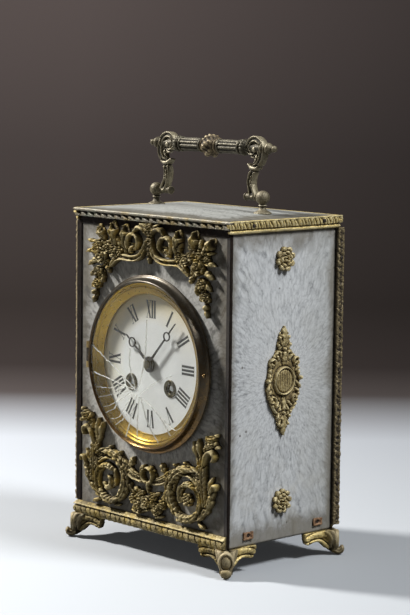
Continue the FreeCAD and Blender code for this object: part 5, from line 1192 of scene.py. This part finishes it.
def knee_boss(profile):
    """Oval boss or frame on the knee."""
    points, faces, wear = lathe(profile, 40)
    return placed((4.2, 0, 9.4), 0.95 * Y, 1.25 * Z, X)(points), faces, wear


WING_SUNK = 1.6
wing, wing_faces, wing_wear = foot_wing()
wing[:, 2] -= WING_SUNK
knee = [foot_leg(), knee_boss([(3.2, -0.6), (3.1, 0.6), (2.4, 1.3), (1.3, 1.7), (0.1, 1.8)]),
        knee_boss([(3.3, -0.6), (3.5, 0.9), (4.2, 1.5), (4.9, 0.9), (5.1, -0.6), (3.3, -0.6)])]
legs, dull_wings, lit_wings = Cluster(), Cluster(), Cluster()
for sx in (1, -1):
    for sy in (1, -1):
        corner, outward = (sx * HALF_W, sy * HALF_D, 0), math.sqrt(0.5) * (sx * X + sy * Y)
        for points, faces, wear in knee:
            legs.add(placed(corner, outward, math.sqrt(0.5) * (sy * Y - sx * X), Z)(points), faces, wear)
        # Wings on the right face take the lit copy of the gilt, the others the plain one: painted light.
        side_wings = lit_wings if sx > 0 else dull_wings
        side_wings.add(placed(corner, -sy * Y, Z, sx * X)(wing), wing_faces, 0.8 * wing_wear)
        dull_wings.add(placed(corner, -sx * X, Z, sy * Y)(wing), wing_faces, 0.7 * wing_wear)
legs.build("cast_feet", worn_foot, "case", "gilt_bronze", "feet")
dull_wings.build("foot_wings", dull_gilt, "case", "gilt_bronze", "feet")
lit_wings.build("foot_wings_right", lit_gilt, "case", "gilt_bronze", "feet")


def clip(y):
    """A rusty plate with a hole, whose ends curl up."""
    r = Relief(y - 4.6, y + 4.6, 3.6, 9.6, 0.25)
    ragged = 0.5 * blur(rng.normal(size=r.h.shape), 2.0) * 4.0
    away = np.abs(r.x - y)
    inside = (away < 4.0 + 0.5 * ragged) & (np.abs(r.z - 6.5) < 2.4 + 0.5 * ragged)
    curl = np.exp(-((away - 3.3) / 0.7) ** 2) + 0.6 * np.exp(-((r.z - 4.6) / 0.6) ** 2)
    hole = np.hypot((r.x - y) / 1.25, r.z - 6.6) < 1.15
    plate = np.where(hole, 0.45, 1.0 + 0.45 * np.minimum(curl, 1) + 0.15 * ragged)
    r.h = np.where(inside, np.maximum(plate, 0.42), 0)
    return r


cast("rusty_clips", rusty_plate, [(clip(y), on_right) for y in (-27.0, 32.0)], "panel_clips",
     slot="rusty_iron")

# Finishes of the nodes that stay as they are
finishes = {
    "front_panel": moire_front, "back_panel": moire_back, "right_panel": moire_right,
    "left_panel": moire_left, "top_panel": moire_top, "dial": enamel, "bezel_glass": glass,
    "dial_pan": pan_brass, "trim_nails": dark_iron, "hand_nut": boss, "hinge_pins": boss,
}
by_slot = {
    "dark_frame": dark_wood, "rusty_iron": rust, "steel": steel, "movement_brass": brass,
    "blued_steel": blued, "worn_brass": back_gilt, "gilt_bronze": back_gilt, "bell_metal": bell_metal,
}
slots = {part["node"]: part["material_slot"] for part in frame["record"]["subparts"]}
for name, piece in frame["nodes"].items():
    piece.data.materials.clear()
    piece.data.materials.append(finishes.get(name) or by_slot[slots[name]])

# Floor, backdrop, lights and camera, in metres: directions along the floor, away from the camera and across
AWAY, ACROSS = (-0.729, 0.673), (0.673, 0.729)
REACH, BEND_AT, BEND_R, WALL_TOP = 14.0, 1.2, 0.7, 3.2


def floor_paper():
    """Painted light and shade on the backdrop: pale near the camera, dark behind the clock, a little paler
    up the wall and darker to the camera's right.
    """
    n = Shade("floor_paper")
    x, y, z = n.node("SeparateXYZ", n.node("TexCoord").outputs["Object"]).outputs
    run = n.total((x, AWAY[0]), (y, AWAY[1]), (z, 1))
    tone = n.ramp(
        n.times(run, 0.4), (0, (0.4, 0.417, 0.437)), (0.144, (0.34, 0.355, 0.38)),
        (0.232, (0.046, 0.038, 0.036)), (0.3, (0.0205, 0.0155, 0.0142)), (0.5, (0.0205, 0.0158, 0.0142)),
        (0.72, (0.034, 0.027, 0.0255)), (0.92, (0.066, 0.052, 0.049)))
    across = n.total((x, ACROSS[0]), (y, ACROSS[1]))
    share = n.calc("MAXIMUM", n.calc("MULTIPLY_ADD", across, -1.1, 1.0), 0.45)
    fade = n.scaled(tone, n.calc("MINIMUM", share, 1.2))
    path = n.node("LightPath").outputs
    seen = n.calc("MAXIMUM", path["Is Camera Ray"], path["Is Glossy Ray"])
    # Camera rays and reflections see this tone, other light a near black floor that throws back little
    # light; a faint glow seen only by the camera lightens the floor and the clock's shadow on it: painted
    # light.
    n.surface(Base_Color=n.mix(seen, (0.03, 0.029, 0.028), fade), Roughness=0.8, Specular_IOR_Level=0.1,
              Emission_Color=fade, Emission_Strength=n.times(path["Is Camera Ray"], 0.06))
    # Clear from behind, so that the clock can be looked at from every side
    n.show(n.node("MixShader", n.node("NewGeometry").outputs["Backfacing"], n.shader.outputs[0],
                  n.node("BsdfTransparent").outputs[0]).outputs[0])
    return n.made


def backdrop():
    """Floor that sweeps up into a wall behind the clock."""
    profile = [(-REACH, 0), (0.2, 0), (BEND_AT, 0)]
    for a in np.linspace(0.1, 1.5, 14):
        profile.append((BEND_AT + BEND_R * math.sin(a), BEND_R - BEND_R * math.cos(a)))
    profile.append((BEND_AT + BEND_R, WALL_TOP))
    points = [(AWAY[0] * run + ACROSS[0] * reach, AWAY[1] * run + ACROSS[1] * reach, z)
              for run, z in profile for reach in (-REACH, REACH)]
    mesh = bpy.data.meshes.new("studio_floor")
    mesh.from_pydata(points, [], [(2 * k, 2 * k + 1, 2 * k + 3, 2 * k + 2) for k in range(len(profile) - 1)])
    mesh.polygons.foreach_set("use_smooth", [True] * len(mesh.polygons))
    mesh.materials.append(floor_paper())
    floor = bpy.data.objects.new("studio_floor", mesh)
    bpy.context.scene.collection.objects.link(floor)


backdrop()


def area_light(name, at, size, watts, colour, target=(0, 0, 0.12)):
    light = bpy.data.lights.new(name, "AREA")
    light.shape = "DISK"
    light.size = size
    light.energy = watts
    light.color = colour
    made = bpy.data.objects.new(name, light)
    made.location = at
    made.rotation_euler = (Vector(target) - Vector(at)).to_track_quat("-Z", "Y").to_euler()
    bpy.context.scene.collection.objects.link(made)


area_light("key", (-1.33, -0.66, 1.46), 0.24, 74.0, (1.0, 0.985, 0.96))
area_light("side", (1.18, 0.38, 1.68), 0.6, 44.0, (0.96, 0.98, 1.0))

world = bpy.data.worlds.new("studio")
world.use_nodes = True
world.node_tree.nodes["Background"].inputs[0].default_value = (0.28, 0.28, 0.28, 1.0)
world.node_tree.nodes["Background"].inputs[1].default_value = 0.34
bpy.context.scene.world = world
bpy.context.scene.view_settings.view_transform = "Standard"

lens = bpy.data.cameras.new("camera")
lens.sensor_width = 36.0
lens.lens = 121.13
camera = bpy.data.objects.new("camera", lens)
CAMERA_AT = (0.93886, -0.867, 0.30744)
RIGHT = (0.67733179, 0.73559599, 0.01096323)
UP = (-0.0968271, 0.07436536, 0.99251917)
BACK = (0.72927784, -0.67332632, 0.12159565)
camera.matrix_world = Matrix.Translation(CAMERA_AT) @ Matrix((RIGHT, UP, BACK)).transposed().to_4x4()
bpy.context.scene.collection.objects.link(camera)
bpy.context.scene.camera = camera
